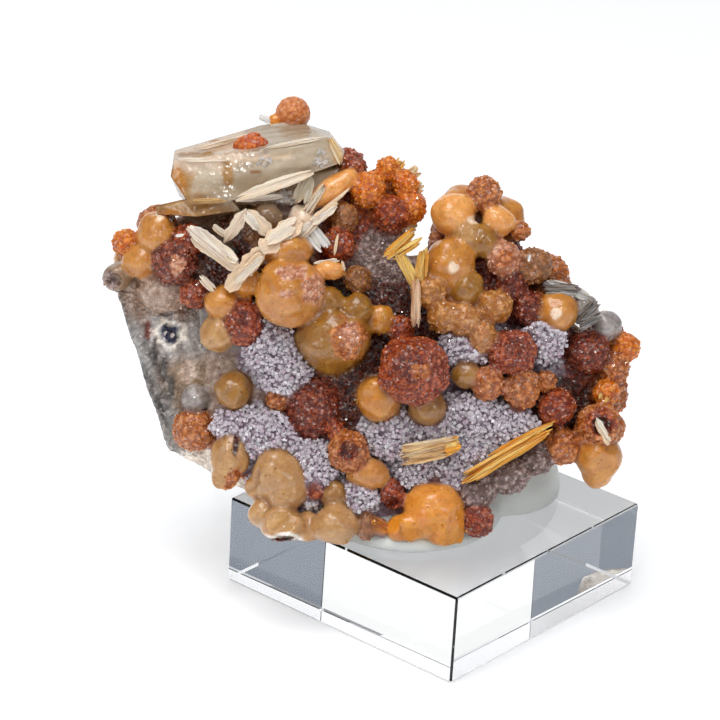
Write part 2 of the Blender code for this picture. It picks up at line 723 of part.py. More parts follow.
keep("acrylic_block", acrylic_block(), "acrylic")
keep("putty", combined(putty(), [fat_crust, fat_stone], "DIFFERENCE"), "putty", THINNED_SHARE)
keep("matrix_rock", stone, "rock")
keep("smithsonite_crust", crust, "smithsonite")
for name, lumps in (("smithsonite_ball_top", TOP_BALL), ("smithsonite_dome", DOME)):
    grown = joined([ball(lump) for lump in lumps])
    keep(name, combined(grown, [fat_table], "DIFFERENCE"), "smithsonite")
keep("celestite_table", table, "celestite")
for name, made in crystals.items():
    keep(name, made, "celestite")
for seed, (name, patches) in enumerate(FLUORITE_DRUSE.items()):
    grown = druse(patches, seed)
    combined(grown, [fat_crust, fat_stone], "DIFFERENCE")
    keep(name, combined(grown, fat_crystals, "DIFFERENCE"), "fluorite", THINNED_SHARE)

for left in list(BENCH.objects):
    bpy.data.objects.remove(left)
bpy.data.collections.remove(BENCH)
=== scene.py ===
# %% [markdown]
# # A smithsonite specimen with fluorite and celestite
#
# The real object is a hand-sized mineral: round ochre and red-brown smithsonite lumps on grey rock,
# lilac fluorite cubes in the hollows, and grey, cream and yellow celestite crystals. It is stuck with
# white putty on a clear acrylic block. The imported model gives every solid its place. This script
# dresses each one with a fine skin, crystals and a finish.

import math
import random
from collections import namedtuple

import bmesh
import bpy
import numpy as np
from mathutils import Matrix, Vector, noise


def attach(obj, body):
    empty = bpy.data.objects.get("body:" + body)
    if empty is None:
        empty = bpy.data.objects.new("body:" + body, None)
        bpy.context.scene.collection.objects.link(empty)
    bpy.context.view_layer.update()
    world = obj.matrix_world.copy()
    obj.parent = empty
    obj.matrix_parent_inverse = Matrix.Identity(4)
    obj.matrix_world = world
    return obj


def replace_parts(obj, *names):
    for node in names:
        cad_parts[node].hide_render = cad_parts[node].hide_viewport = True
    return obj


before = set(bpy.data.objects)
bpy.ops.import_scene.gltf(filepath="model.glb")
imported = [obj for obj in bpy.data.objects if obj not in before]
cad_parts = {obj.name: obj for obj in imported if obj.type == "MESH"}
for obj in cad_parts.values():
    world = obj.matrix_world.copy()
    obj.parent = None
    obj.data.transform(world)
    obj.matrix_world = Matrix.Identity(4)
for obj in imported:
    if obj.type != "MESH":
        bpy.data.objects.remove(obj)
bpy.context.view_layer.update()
MM = 0.001
print("solids:", len(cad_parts))

# %% [markdown]
# ## The viewer
#
# Places on a crusted stone are easiest to name as someone in front of it sees them: how far right,
# how far up, and how far out towards the eye. The same viewer is the camera, so one set of numbers
# serves both. It looks down a little, with the head slightly askew.

# %% The viewer's directions, in millimetres
VIEW_DOWN = math.radians(23.7)
VIEW_ROLL = math.radians(3.3)
VIEW_REACH = 385.0
VIEW_CENTRE = Vector((-11.0, 0.0, 31.4))
FACE_FOOT = -22.0
FACE_RISE = 0.15

OUT = Vector((0.0, -math.cos(VIEW_DOWN), math.sin(VIEW_DOWN)))
LEVEL_UP = Vector((0.0, math.sin(VIEW_DOWN), math.cos(VIEW_DOWN)))
EAST = Vector((1.0, 0.0, 0.0))
RIGHT = math.cos(VIEW_ROLL) * EAST + math.sin(VIEW_ROLL) * LEVEL_UP
UP = math.cos(VIEW_ROLL) * LEVEL_UP - math.sin(VIEW_ROLL) * EAST
VIEW_TURN = Matrix((RIGHT, UP, OUT)).transposed()


def seen(right, up, out):
    """The place in space of a point that the viewer sees this far right, up and out."""
    out += FACE_RISE * (up - FACE_FOOT)
    nearer = (VIEW_REACH - out) / VIEW_REACH
    return (VIEW_CENTRE + (RIGHT * right + UP * up) * nearer + OUT * out) * MM


def as_seen(places):
    """The other way round: rows of right, up and out for rows of places in space."""
    away = places / MM - np.array(VIEW_CENTRE)
    out = away @ np.array(OUT)
    nearer = (VIEW_REACH - out) / VIEW_REACH
    right = away @ np.array(RIGHT) / nearer
    up = away @ np.array(UP) / nearer
    return np.stack((right, up, out - FACE_RISE * (up - FACE_FOOT)), axis=1)


# %% The camera, at the photograph's angle
CAMERA_LENS = 150.0
SENSOR_WIDTH = 36.0
NEAREST = 0.01
FARTHEST = 10.0


def placed(name, data):
    """A new object in the scene that shows this data."""
    made = bpy.data.objects.new(name, data)
    bpy.context.scene.collection.objects.link(made)
    return made


camera = placed("camera", bpy.data.cameras.new("camera"))
camera.data.lens = CAMERA_LENS
camera.data.sensor_width = SENSOR_WIDTH
camera.data.clip_start = NEAREST
camera.data.clip_end = FARTHEST
eye = (VIEW_CENTRE + OUT * VIEW_REACH) * MM
camera.matrix_world = Matrix.Translation(eye) @ VIEW_TURN.to_4x4()
bpy.context.scene.camera = camera
print("the camera stands at", [round(c, 3) for c in eye])

# %% [markdown]
# ## Floor and light
#
# A pale tabletop runs past the picture's edges. A wide soft lamp overhead gives the even light of a
# product photograph, and a few small lamps put the bright points on the crystal faces. The clear
# block shows what stands around it, so its dark and bright faces come from upright cards: two dark
# ones at the sides and a bright one behind.


# %% Colours, materials and flat sheets
def colour(red, green, blue):
    """A colour as it looks on a screen, 0 to 255, turned into the values that light adds up in."""
    return tuple((channel / 255.0) ** 2.2 for channel in (red, green, blue))


def material(name, base=(0.8, 0.8, 0.8), **sockets):
    """A new material with its shader, and plain numbers on the shader's own sockets."""
    made = bpy.data.materials.new(name)
    made.use_nodes = True
    shader = made.node_tree.nodes["Principled BSDF"]
    shader.inputs["Base Color"].default_value = (*base, 1.0)
    for socket, value in sockets.items():
        shader.inputs[socket.replace("_", " ")].default_value = value
    return made


def mesh_of(name, shape):
    """Turns a bmesh into mesh data and frees it."""
    mesh = bpy.data.meshes.new(name)
    shape.to_mesh(mesh)
    shape.free()
    return mesh


def sheet(name, placing, finish):
    """A flat square from -1 to 1 each way, placed and sized by a matrix."""
    shape = bmesh.new()
    bmesh.ops.create_grid(shape, x_segments=1, y_segments=1, size=1.0, matrix=placing)
    mesh = mesh_of(name, shape)
    mesh.materials.append(finish)
    return placed(name, mesh)


def screen(name, centre, wide, tall, facing, finish):
    """An upright card beside or behind the set. The block shows it, but no picture sees it directly."""
    turn = Vector(facing).to_track_quat("Z", "Y").to_matrix().to_4x4()
    size = Matrix.Diagonal((wide / 2, tall / 2, 1.0, 1.0))
    made = sheet(name, Matrix.Translation(centre) @ turn @ size, finish)
    made.visible_camera = False


# %% The floor and the cards
AIR_GAP = 0.00008
FLOOR_REACH = 3.0

pale = material("pale_floor", (0.94, 0.945, 0.955), Roughness=0.6,
                Emission_Color=(0.97, 0.98, 1.0, 1.0), Emission_Strength=0.30)
slate = material("slate_card", (0.16, 0.18, 0.21), Roughness=0.9,
                 Emission_Color=(0.60, 0.68, 0.80, 1.0), Emission_Strength=0.22)
bright = material("bright_card", (0.9, 0.9, 0.88), Roughness=0.9,
                  Emission_Color=(1.0, 0.995, 0.97, 1.0), Emission_Strength=0.62)
lowered = Matrix.Translation((0.0, 0.0, -AIR_GAP))
floor = sheet("floor", lowered @ Matrix.Scale(FLOOR_REACH, 4), pale)
screen("left_card", (-1.6, -0.1, 0.8), 2.4, 1.4, (1.0, 0.0, 0.0), slate)
screen("right_card", (1.6, 0.1, 0.8), 2.4, 1.4, (-1.0, 0.0, 0.0), slate)
screen("back_card", (0.0, 1.8, 0.8), 2.6, 1.5, (0.0, -1.0, 0.0), bright)
print("a floor and three cards")

# %% The lamps and the surroundings
LAMP_TARGET = Vector((-0.008, 0.0, 0.03))
SKY = (0.94, 0.965, 1.0, 1.0)
SKY_STRENGTH = 0.31


def lamp(name, place, size, watts):
    """A square lamp that faces the specimen."""
    made = placed(name, bpy.data.lights.new(name, "AREA"))
    made.data.size = size
    made.data.energy = watts
    made.location = place
    made.rotation_mode = "QUATERNION"
    made.rotation_quaternion = (LAMP_TARGET - Vector(place)).to_track_quat("-Z", "Y")


lamp("overhead", (-0.10, -0.10, 0.55), 0.32, 1.75)
lamp("front_left", (-0.42, -0.45, 0.34), 0.20, 0.42)
lamp("front_right", (0.45, -0.35, 0.30), 0.16, 0.28)
lamp("glint_left", (-0.16, -0.46, 0.48), 0.03, 0.34)
lamp("glint_right", (0.22, -0.40, 0.52), 0.03, 0.30)

world = bpy.data.worlds.new("studio")
world.use_nodes = True
world.node_tree.nodes["Background"].inputs["Color"].default_value = SKY
world.node_tree.nodes["Background"].inputs["Strength"].default_value = SKY_STRENGTH
bpy.context.scene.world = world
bpy.context.scene.view_settings.view_transform = "Standard"
print("lamps:", [item.name for item in bpy.data.objects if item.type == "LIGHT"])

# %% [markdown]
# ## Finishes
#
# The same mineral shows as waxy ochre where its surface is smooth and as dark sparkling sugar where
# small crystals stand on it. Each finish names a colour, a second colour that mottles it, and how
# sugary it is from 0 to 1. A skin carries its finish as attributes on its points, so one material
# serves every lump.

# %% Name the finishes
Finish = namedtuple("Finish", "main other sugar")
FINISHES = {
    "ochre": Finish(colour(182, 110, 32), colour(216, 152, 68), 0.14),
    "amber": Finish(colour(214, 124, 14), colour(236, 160, 46), 0.10),
    "tan": Finish(colour(168, 116, 58), colour(206, 162, 104), 0.16),
    "olive": Finish(colour(134, 86, 22), colour(176, 126, 48), 0.16),
    "orange": Finish(colour(228, 108, 8), colour(246, 158, 60), 0.85),
    "rust": Finish(colour(184, 94, 32), colour(226, 150, 90), 0.80),
    "red": Finish(colour(140, 46, 10), colour(200, 102, 50), 1.00),
    "wine": Finish(colour(112, 34, 12), colour(170, 88, 56), 1.00),
    "pink": Finish(colour(206, 124, 84), colour(238, 190, 160), 0.75),
    "cream": Finish(colour(240, 204, 168), colour(252, 234, 214), 0.20),
    "beige": Finish(colour(160, 126, 104), colour(206, 184, 168), 0.55),
    "taupe": Finish(colour(122, 92, 66), colour(150, 124, 94), 0.10),
    "clear": Finish(colour(190, 166, 134), colour(230, 214, 190), 0.05),
    "grey": Finish(colour(132, 122, 116), colour(186, 180, 176), 0.40),
    "smoke": Finish(colour(120, 90, 80), colour(190, 168, 164), 0.90),
    # A very dark red-brown that is painted into deep gaps, pits and hollows as painted shade.
    "gap_shade": Finish(colour(62, 20, 9), colour(120, 54, 28), 0.85),
    "lilac": Finish(colour(150, 124, 136), colour(200, 182, 196), 0.60),
    "silver": Finish(colour(52, 47, 44), colour(166, 162, 158), 0.45),
    "brown": Finish(colour(138, 84, 40), colour(182, 124, 74), 0.60),
    "ink": Finish(colour(14, 18, 38), colour(52, 58, 96), 1.00),
    "gold": Finish(colour(246, 158, 36), colour(255, 214, 128), 0.10),
    "peach": Finish(colour(244, 188, 122), colour(252, 220, 178), 0.10),
    "blush": Finish(colour(222, 168, 128), colour(240, 208, 180), 0.10),
    "copper": Finish(colour(190, 102, 42), colour(226, 154, 94), 0.75),
    "honey": Finish(colour(184, 112, 44), colour(220, 160, 92), 0.60),
    "ember": Finish(colour(172, 66, 8), colour(224, 126, 44), 1.00),
    "shade": Finish(colour(50, 42, 38), colour(92, 84, 78), 0.40),
    "apricot": Finish(colour(226, 146, 64), colour(240, 180, 108), 0.10),
    "white": Finish(colour(234, 222, 206), colour(250, 244, 236), 0.50),
}
print("finishes:", ", ".join(FINISHES))

# %% [markdown]
# ## The smithsonite crust
#
# Smithsonite grows as balls that swell until they merge. Here each lump is a sphere with its own
# place, radius and finish. All of them, and the slabs of the crust's floor between them, are joined
# and remeshed in small cells, so they grow into one skin with soft valleys, as on the real crust.

# %% The lumps at the left, each with its place, radius and finish
Lump = namedtuple(
    "Lump", "right up out radius finish wide tall deep turn", defaults=(1.0, 1.0, 1.0, 0.0)
)

UPPER_LEFT_KNOBS = (
    Lump(-29.9, 15.0, -2.0, 1.9, "orange"),
    Lump(-26.1, 16.2, -0.5, 2.6, "ochre"),
    Lump(-28.1, 12.6, -0.5, 2.2, "ochre"),
    Lump(-23.8, 12.6, 0.8, 2.9, "wine"),
    Lump(-31.0, 10.6, -1.5, 1.9, "taupe"),
    Lump(-22.0, 15.4, 0.8, 2.0, "red"),
    Lump(-21.2, 8.4, 1.5, 1.9, "red"),
    Lump(-25.0, 8.8, -0.6, 2.7, "beige", wide=1.3, deep=0.8),
)

LEFT_GROUP = (
    Lump(-17.5, 7.4, 3.2, 2.3, "ochre"),
    Lump(-18.4, 3.3, 3.2, 2.4, "tan"),
    Lump(-15.0, 4.9, 3.8, 2.6, "red", tall=1.15),
    Lump(-14.4, 10.0, 4.2, 1.9, "ochre"),
    Lump(-9.0, 8.7, 5.4, 4.4, "ochre"),
    Lump(-9.3, 14.0, 4.0, 3.3, "ochre", tall=0.6),
    Lump(-16.3, -3.9, 3.4, 2.5, "olive", wide=0.9),
    Lump(-21.3, -4.9, 0.8, 1.8, "grey"),
    Lump(-21.4, -9.0, 0.8, 2.9, "rust", tall=0.9),
    Lump(-10.7, -5.1, 4.0, 1.5, "rust"),
)

LOWER_LEFT = (
    Lump(-16.7, -12.2, 4.2, 2.5, "tan", tall=1.15),
    Lump(-17.3, -15.0, 4.6, 1.7, "tan"),
    Lump(-10.6, -14.8, 5.4, 3.3, "tan"),
    Lump(-9.6, -17.2, 6.0, 2.4, "tan"),
    Lump(-9.9, -21.1, 7.2, 3.1, "tan", tall=0.68),
    Lump(-3.3, -21.2, 7.2, 3.0, "tan", tall=0.85),
    Lump(0.8, -21.4, 6.6, 1.5, "brown", tall=1.2),
    Lump(-3.2, -17.6, 5.6, 1.7, "olive", tall=1.2),
    Lump(-6.1, -6.2, 3.4, 3.6, "wine", tall=1.1, deep=0.8),
    Lump(-5.8, -16.6, 5.6, 1.3, "red"),
    Lump(-1.4, -11.7, 6.0, 2.7, "rust"),
    Lump(-3.1, -9.0, 5.2, 1.3, "red"),
    Lump(1.0, -14.4, 5.2, 2.0, "ochre", wide=1.3),
    Lump(4.2, -17.2, 5.0, 1.6, "red", tall=1.2),
    Lump(-6.6, -21.6, 6.2, 2.1, "tan"),
    Lump(-12.6, -19.8, 5.8, 1.9, "tan"),
    Lump(-13.4, -16.4, 5.0, 1.5, "tan"),
)
print(len(UPPER_LEFT_KNOBS + LEFT_GROUP + LOWER_LEFT), "lumps at the left")

# %% The lumps in the middle
OLIVE_GROUP = (
    Lump(-3.5, 2.6, 3.6, 4.6, "olive", tall=0.87),
    Lump(-1.4, 2.7, 5.4, 2.9, "olive"),
    Lump(-3.9, 7.6, 4.6, 1.9, "olive"),
    Lump(-0.3, 6.6, 4.6, 2.0, "olive"),
    Lump(2.7, 5.2, 4.0, 1.6, "ochre", tall=1.3),
    Lump(5.2, 3.9, 3.6, 1.8, "red"),
    Lump(-3.9, 11.6, 4.2, 1.9, "apricot", tall=0.7, turn=-12.0),
    Lump(-0.3, 10.4, 2.6, 1.8, "brown"),
)

CENTRE_GROUP = (
    Lump(6.9, -1.4, 6.4, 4.5, "red"),
    Lump(2.4, -4.9, 5.0, 2.9, "ochre"),
    Lump(8.6, -5.9, 4.6, 2.5, "olive"),
    Lump(9.0, 8.9, 2.6, 2.3, "honey"),
    Lump(10.8, 5.6, 3.4, 2.1, "honey"),
    Lump(13.2, 5.2, 3.6, 2.1, "honey"),
    Lump(15.8, 3.0, 3.6, 2.0, "honey"),
    Lump(17.3, 6.9, 2.8, 2.2, "honey"),
    Lump(13.5, -1.8, 3.6, 1.9, "olive"),
    Lump(16.4, -3.0, 4.0, 2.1, "rust"),
    Lump(19.5, 1.1, 3.2, 3.1, "red", tall=0.93),
    Lump(20.6, -3.7, 3.0, 2.3, "rust", tall=1.2),
    Lump(23.8, -2.6, 1.8, 1.4, "rust"),
)
print(len(OLIVE_GROUP + CENTRE_GROUP), "lumps in the middle")

# %% The lumps at the right
LOWER_RIGHT = (
    Lump(9.4, -19.4, 5.0, 3.8, "amber", deep=0.9),
    Lump(6.0, -21.6, 5.6, 2.7, "amber", tall=0.7),
    Lump(11.0, -22.2, 5.8, 2.4, "amber", tall=0.9),
    Lump(15.2, -20.6, 4.6, 2.1, "red"),
    Lump(15.0, -16.6, 3.4, 2.6, "smoke"),
    Lump(19.0, -14.6, 2.8, 2.8, "smoke", tall=0.9),
    Lump(22.6, -12.6, 1.6, 2.2, "smoke"),
    Lump(25.2, -6.1, 1.6, 2.3, "red"),
    Lump(30.8, -8.4, 1.2, 3.1, "rust", tall=0.9),
    Lump(30.6, -12.4, 0.4, 3.0, "ochre"),
    Lump(30.4, -14.2, 0.2, 2.0, "ochre"),
    Lump(26.0, -11.0, 1.0, 2.4, "rust"),
    Lump(31.6, -4.2, -0.6, 1.7, "orange"),
)

RIGHT_EDGE = (
    Lump(25.3, 6.3, 0.4, 2.6, "ochre"),
    Lump(22.0, 6.6, 0.2, 2.3, "wine"),
    Lump(34.0, 1.6, -3.6, 2.0, "orange"),
    Lump(32.6, -1.0, -2.4, 2.1, "rust"),
    Lump(29.4, 1.0, -1.4, 2.8, "wine"),
    Lump(31.6, 4.4, -2.6, 1.9, "grey"),
    Lump(28.6, 6.6, -1.4, 2.0, "grey"),
)

UPPER_RIGHT = (
    Lump(15.8, 21.2, -1.4, 2.3, "rust"),
    Lump(12.0, 18.6, -0.2, 2.8, "apricot"),
    Lump(13.4, 16.4, 0.8, 2.0, "tan"),
    Lump(17.7, 17.9, -0.6, 2.0, "apricot"),
    Lump(20.6, 16.6, -1.4, 1.3, "rust"),
    Lump(15.5, 15.4, 0.8, 2.1, "olive"),
    Lump(18.5, 13.1, 0.8, 2.3, "pink"),
    Lump(11.7, 12.5, 1.6, 3.2, "ochre"),
    Lump(13.6, 9.2, 2.2, 2.2, "olive"),
    Lump(22.3, 12.0, -0.6, 2.3, "brown"),
    Lump(19.4, 9.6, 0.2, 2.0, "wine"),
)
print(len(LOWER_RIGHT + RIGHT_EDGE + UPPER_RIGHT), "lumps at the right")

# %% The lumps at the top and round the back
UPPER_MIDDLE = (
    Lump(4.1, 18.7, -0.6, 2.3, "red"),
    Lump(1.0, 22.0, -0.8, 2.3, "orange"),
    Lump(-1.2, 24.6, -1.6, 1.6, "red"),
    Lump(3.6, 24.6, -2.2, 1.6, "orange"),
    Lump(5.9, 22.8, -2.2, 1.7, "orange"),
    Lump(6.4, 19.6, -2.0, 2.1, "orange"),
    Lump(-2.2, 18.4, 0.4, 1.9, "brown"),
    Lump(-3.0, 14.9, 1.4, 2.2, "red"),
    Lump(-3.6, 21.9, 0.4, 1.9, "apricot", wide=2.1, tall=0.8, turn=38.0),
    Lump(-11.8, 18.4, 2.4, 1.7, "taupe"),
    Lump(-7.4, 18.0, 1.0, 1.9, "cream"),
)

# Lumps that wrap a little way round the top, the sides and the back
WRAPPING = (
    Lump(-29.0, 13.0, -5.0, 2.6, "ochre"),
    Lump(-26.0, 17.4, -4.6, 2.6, "rust"),
    Lump(18.0, 18.0, -4.4, 3.0, "ochre"),
    Lump(13.0, 19.6, -4.2, 2.8, "ochre"),
    Lump(24.0, 10.4, -4.4, 3.0, "rust"),
    Lump(31.0, 3.4, -6.4, 2.8, "red"),
    Lump(31.6, -4.0, -4.6, 2.8, "rust"),
    Lump(30.6, -9.0, -3.2, 3.0, "ochre"),
    Lump(4.0, 22.0, -5.4, 3.0, "rust"),
    Lump(-2.0, 24.4, -5.8, 2.8, "red"),
)
print(len(UPPER_MIDDLE + WRAPPING), "lumps at the top and round the back")

# %% Low mounds in the hollows, which the fluorite stands on
MOUND_DEPTH = 1.5
MOUND_PLACES = (
    (-11.2, 1.6, 3.7, 2.13, 2.4), (-9.6, -1.8, 3.9, 2.0, 2.0), (-15.8, -8.6, 3.8, 2.0, 1.73),
    (-11.4, -9.8, 4.6, 2.27, 2.13), (-6.4, -14.2, 5.0, 2.13, 2.8), (-0.2, -17.6, 5.4, 1.47, 1.73),
    (4.4, -9.4, 4.2, 2.93, 2.0), (9.4, -9.0, 4.0, 1.73, 1.73), (13.6, -7.4, 3.4, 2.67, 2.0),
    (18.4, -8.6, 2.6, 2.67, 1.87), (13.6, -12.0, 3.6, 2.0, 1.73), (9.6, -14.6, 4.2, 3.07, 1.6),
    (13.6, 1.8, 3.0, 2.0, 1.6), (23.6, 2.6, 1.4, 1.47, 1.87),
)
FLUORITE_MOUNDS = tuple(
    Lump(right, up, out, MOUND_DEPTH, "lilac", wide=wide, tall=tall)
    for right, up, out, wide, tall in MOUND_PLACES
)
CRUST_LUMPS = (
    UPPER_LEFT_KNOBS + LEFT_GROUP + LOWER_LEFT + OLIVE_GROUP + CENTRE_GROUP + LOWER_RIGHT
    + RIGHT_EDGE + UPPER_RIGHT + UPPER_MIDDLE + WRAPPING + FLUORITE_MOUNDS
)
print(len(CRUST_LUMPS), "lumps and mounds")

# %% The crust's floor between the lumps, as the corners of convex slabs
CRUST_SLABS = (
    (
        (-21.0, 12.0, 0.0), (-19.0, -12.0, 1.6), (-9.0, -20.0, 4.6), (9.0, -20.0, 3.4),
        (17.0, -17.0, 1.8), (28.0, -11.0, -1.0), (31.0, 0.0, -2.8), (23.0, 9.0, -1.4),
        (9.0, 12.0, 0.4), (-6.0, 16.0, 0.6), (0.0, 0.0, 3.4), (-10.0, 0.0, 2.8),
    ),
    (
        (-30.0, 11.0, -2.4), (-28.0, 16.0, -2.4), (-20.0, 17.0, -0.6), (-17.0, 8.0, 1.6),
        (-24.0, 7.0, -1.6),
    ),
    (
        (-18.0, 18.0, -0.6), (-10.0, 21.0, -1.0), (-1.0, 23.4, -2.4), (5.0, 22.0, -3.0),
        (6.0, 12.0, 0.0), (-14.0, 12.0, 1.4),
    ),
    (
        (9.6, 18.0, -2.6), (15.0, 20.4, -3.2), (20.0, 16.0, -3.0), (22.4, 11.0, -2.4),
        (17.0, 6.0, 1.2), (7.4, 9.0, 0.8),
    ),
)
CRUST_DEPTH = 4.0
print(len(CRUST_SLABS), "slabs")

# %% Buds, the smaller swellings that keep a lump from being a perfect ball
SUGARY_FROM = 0.5
USUAL_RADIUS = 2.2
MOST_FOR_SIZE = 1.4
BudRule = namedtuple("BudRule", "many share rise")
SUGARY_BUDS = BudRule(9, (0.34, 0.46), (0.03, 0.11))
WAXY_BUDS = BudRule(5, (0.46, 0.70), (0.05, 0.15))


def buds(lump, draw):
    """The buds on a lump. Share is a bud's size beside the lump's, and rise how far it stands out."""
    rule = SUGARY_BUDS if FINISHES[lump.finish].sugar > SUGARY_FROM else WAXY_BUDS
    for _ in range(int(rule.many * min(MOST_FOR_SIZE, lump.radius / USUAL_RADIUS)) + 1):
        share = draw.uniform(*rule.share)
        rise = draw.uniform(*rule.rise)
        facing = Vector((draw.gauss(0, 1), draw.gauss(0, 1), draw.gauss(0.5, 0.8))).normalized()
        reach = (1.0 - share + rise) * lump.radius
        yield lump._replace(
            right=lump.right + facing.x * reach * lump.wide,
            up=lump.up + facing.y * reach * lump.tall,
            out=lump.out + facing.z * reach * lump.deep,
            radius=lump.radius * share,
        )


bud_draw = random.Random(3)
CRUST_BUDS = tuple(
    bud for lump in CRUST_LUMPS if lump not in FLUORITE_MOUNDS and lump.turn == 0.0
    for bud in buds(lump, bud_draw)
)
print(len(CRUST_BUDS), "buds")


# %% Lumps and slabs as parts of a mesh
def lump_turn(lump):
    """Which way a lump's half axes point."""
    return VIEW_TURN @ Matrix.Rotation(math.radians(lump.turn), 3, "Z")


def lump_radii(lump):
    """A lump's half axes, in millimetres."""
    nearer = (VIEW_REACH - lump.out) / VIEW_REACH
    return Vector((lump.wide, lump.tall, lump.deep)) * lump.radius * nearer


def lump_centre(lump):
    """The middle of a lump, in metres."""
    return np.array(seen(lump.right, lump.up, lump.out))


def add_lump(shape, lump):
    """Puts one lump into a mesh."""
    place = Matrix.Translation(seen(lump.right, lump.up, lump.out)) @ lump_turn(lump).to_4x4()
    size = Matrix.Diagonal((*(lump_radii(lump) * MM), 1.0))
    bmesh.ops.create_icosphere(shape, subdivisions=4, radius=1.0, matrix=place @ size)


def points_and_faces(shape):
    """A small bmesh as rows of points and rows of face corners. It is freed."""
    points = np.array([tuple(vert.co) for vert in shape.verts])
    faces = np.array([[vert.index for vert in face.verts] for face in shape.faces])
    shape.free()
    return points, faces


def repeated(name, copies, faces):
    """One mesh from many copies of a shape, each a block of points, that share one list of faces."""
    many, points = copies.shape[:2]
    steps = np.arange(many)[:, None, None] * points
    mesh = bpy.data.meshes.new(name)
    mesh.from_pydata(copies.reshape(-1, 3), [], (faces[None] + steps).reshape(-1, faces.shape[1]))
    return mesh


def add_many(shape, lumps):
    """Puts many small lumps into a mesh at once, as copies of one ball."""
    ball = bmesh.new()
    bmesh.ops.create_icosphere(ball, subdivisions=3, radius=1.0)
    points, faces = points_and_faces(ball)
    copies = []
    for lump in lumps:
        turn = np.array(lump_turn(lump)) * np.array(lump_radii(lump)) * MM
        copies.append(points @ turn.T + lump_centre(lump))
    mesh = repeated("buds", np.array(copies), faces)
    shape.from_mesh(mesh)
    bpy.data.meshes.remove(mesh)


def add_hull(shape, corners):
    """Puts the solid that is stretched over some corners into a mesh."""
    fresh = [shape.verts.new(corner) for corner in corners]
    wrapped = bmesh.ops.convex_hull(shape, input=fresh)
    inside = {v for v in wrapped["geom_interior"] if isinstance(v, bmesh.types.BMVert)}
    bmesh.ops.delete(shape, geom=list(inside), context="VERTS")


# %% Pieces that ride on the specimen, and ways to rework them
def rider(name, mesh):
    """An object with this mesh, riding on the specimen."""
    made = placed(name, mesh)
    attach(made, "root")
    return made


def thing(name, shape):
    """Turns a bmesh into an object that rides on the specimen."""
    return rider(name, mesh_of(name, shape))


def settled(target):
    """Applies a piece's modifiers to its mesh."""
    depsgraph = bpy.context.evaluated_depsgraph_get()
    target.data = bpy.data.meshes.new_from_object(target.evaluated_get(depsgraph))
    target.modifiers.clear()
    return target


def remeshed(target, cell, smoothing=2):
    """Rebuilds a piece's closed shapes as one skin of small cells, then smooths it."""
    step = target.modifiers.new("cells", "REMESH")
    step.mode = "VOXEL"
    step.voxel_size = cell
    soft = target.modifiers.new("soft", "SMOOTH")
    soft.factor = 0.5
    soft.iterations = smoothing
    return settled(target)


def cut_away(shape, place, kept_side):
    """Cuts a bmesh along a plane, drops the part behind it, closes the cut and gives the cut's rim."""
    cut = bmesh.ops.bisect_plane(
        shape, geom=shape.verts[:] + shape.edges[:] + shape.faces[:],
        plane_co=place, plane_no=kept_side, clear_inner=True,
    )
    rim = [edge for edge in cut["geom_cut"] if isinstance(edge, bmesh.types.BMEdge)]
    bmesh.ops.holes_fill(shape, edges=rim)
    return rim


def cut_below(target, height):
    """Cuts a piece off flat at a height."""
    shape = bmesh.new()
    shape.from_mesh(target.data)
    cut_away(shape, (0.0, 0.0, height), (0.0, 0.0, 1.0))
    shape.to_mesh(target.data)
    shape.free()


# %% Grow the lumps, buds and slabs into one skin
SKIN_CELL = 0.28 * MM
SEAT_HEIGHT = 13.4 * MM

crust_shape = bmesh.new()
for lump in CRUST_LUMPS:
    add_lump(crust_shape, lump)
add_many(crust_shape, CRUST_BUDS)
for slab in CRUST_SLABS:
    front = [seen(right, up, out) for right, up, out in slab]
    rear = [seen(right, up, out - CRUST_DEPTH) for right, up, out in slab]
    add_hull(crust_shape, front + rear)
crust = remeshed(thing("smithsonite_skin", crust_shape), SKIN_CELL)
cut_below(crust, SEAT_HEIGHT)
print("crust skin:", len(crust.data.polygons), "faces")

# %% [markdown]
# ## Painting the crust
#
# Every point of the skin takes the finish of the lump it lies on, softly blended where two lumps
# meet. The floor between lumps takes the nearest floor spot. A few patches are painted over that,
# where one lump carries a cap of another growth. Painted shade darkens the deep gaps, the sunken
# places and the valleys between sugary knobs, and the knob tops are painted lighter. The result is
# two attributes, a tint and a sugariness, and a relief that is worked into the mesh itself.

# %% The floor's spots and the patches on the lumps
Spot = namedtuple("Spot", "right up finish")
# Among the floor spots, the darkest red-brown ones are painted shade on the deep floor between lumps.
FLOOR_SPOTS = (
    Spot(-20.0, 4.0, "grey"), Spot(-20.5, -1.5, "beige"), Spot(-24.0, 9.0, "beige"),
    Spot(-16.0, 13.0, "gap_shade"), Spot(-12.0, 15.5, "brown"), Spot(-8.0, 18.5, "beige"),
    Spot(-11.0, 1.0, "lilac"), Spot(-14.0, -9.5, "lilac"), Spot(-17.0, -5.5, "beige"),
    Spot(-7.0, -14.5, "lilac"), Spot(-6.5, -6.0, "wine"), Spot(-0.5, -6.0, "gap_shade"),
    Spot(2.0, -1.0, "gap_shade"), Spot(5.0, -9.5, "lilac"), Spot(14.0, -8.5, "lilac"),
    Spot(19.0, -7.0, "lilac"), Spot(9.0, -14.5, "lilac"), Spot(13.6, 2.0, "lilac"),
    Spot(2.3, 14.0, "smoke"), Spot(0.5, 8.0, "gap_shade"), Spot(8.0, 6.0, "gap_shade"),
    Spot(16.5, 11.0, "wine"), Spot(21.0, 9.0, "wine"), Spot(23.6, 1.5, "lilac"),
    Spot(23.0, -5.0, "gap_shade"), Spot(28.5, 1.0, "wine"), Spot(28.0, -7.0, "gap_shade"),
    Spot(4.0, 20.0, "rust"), Spot(-2.0, 17.0, "red"),
)

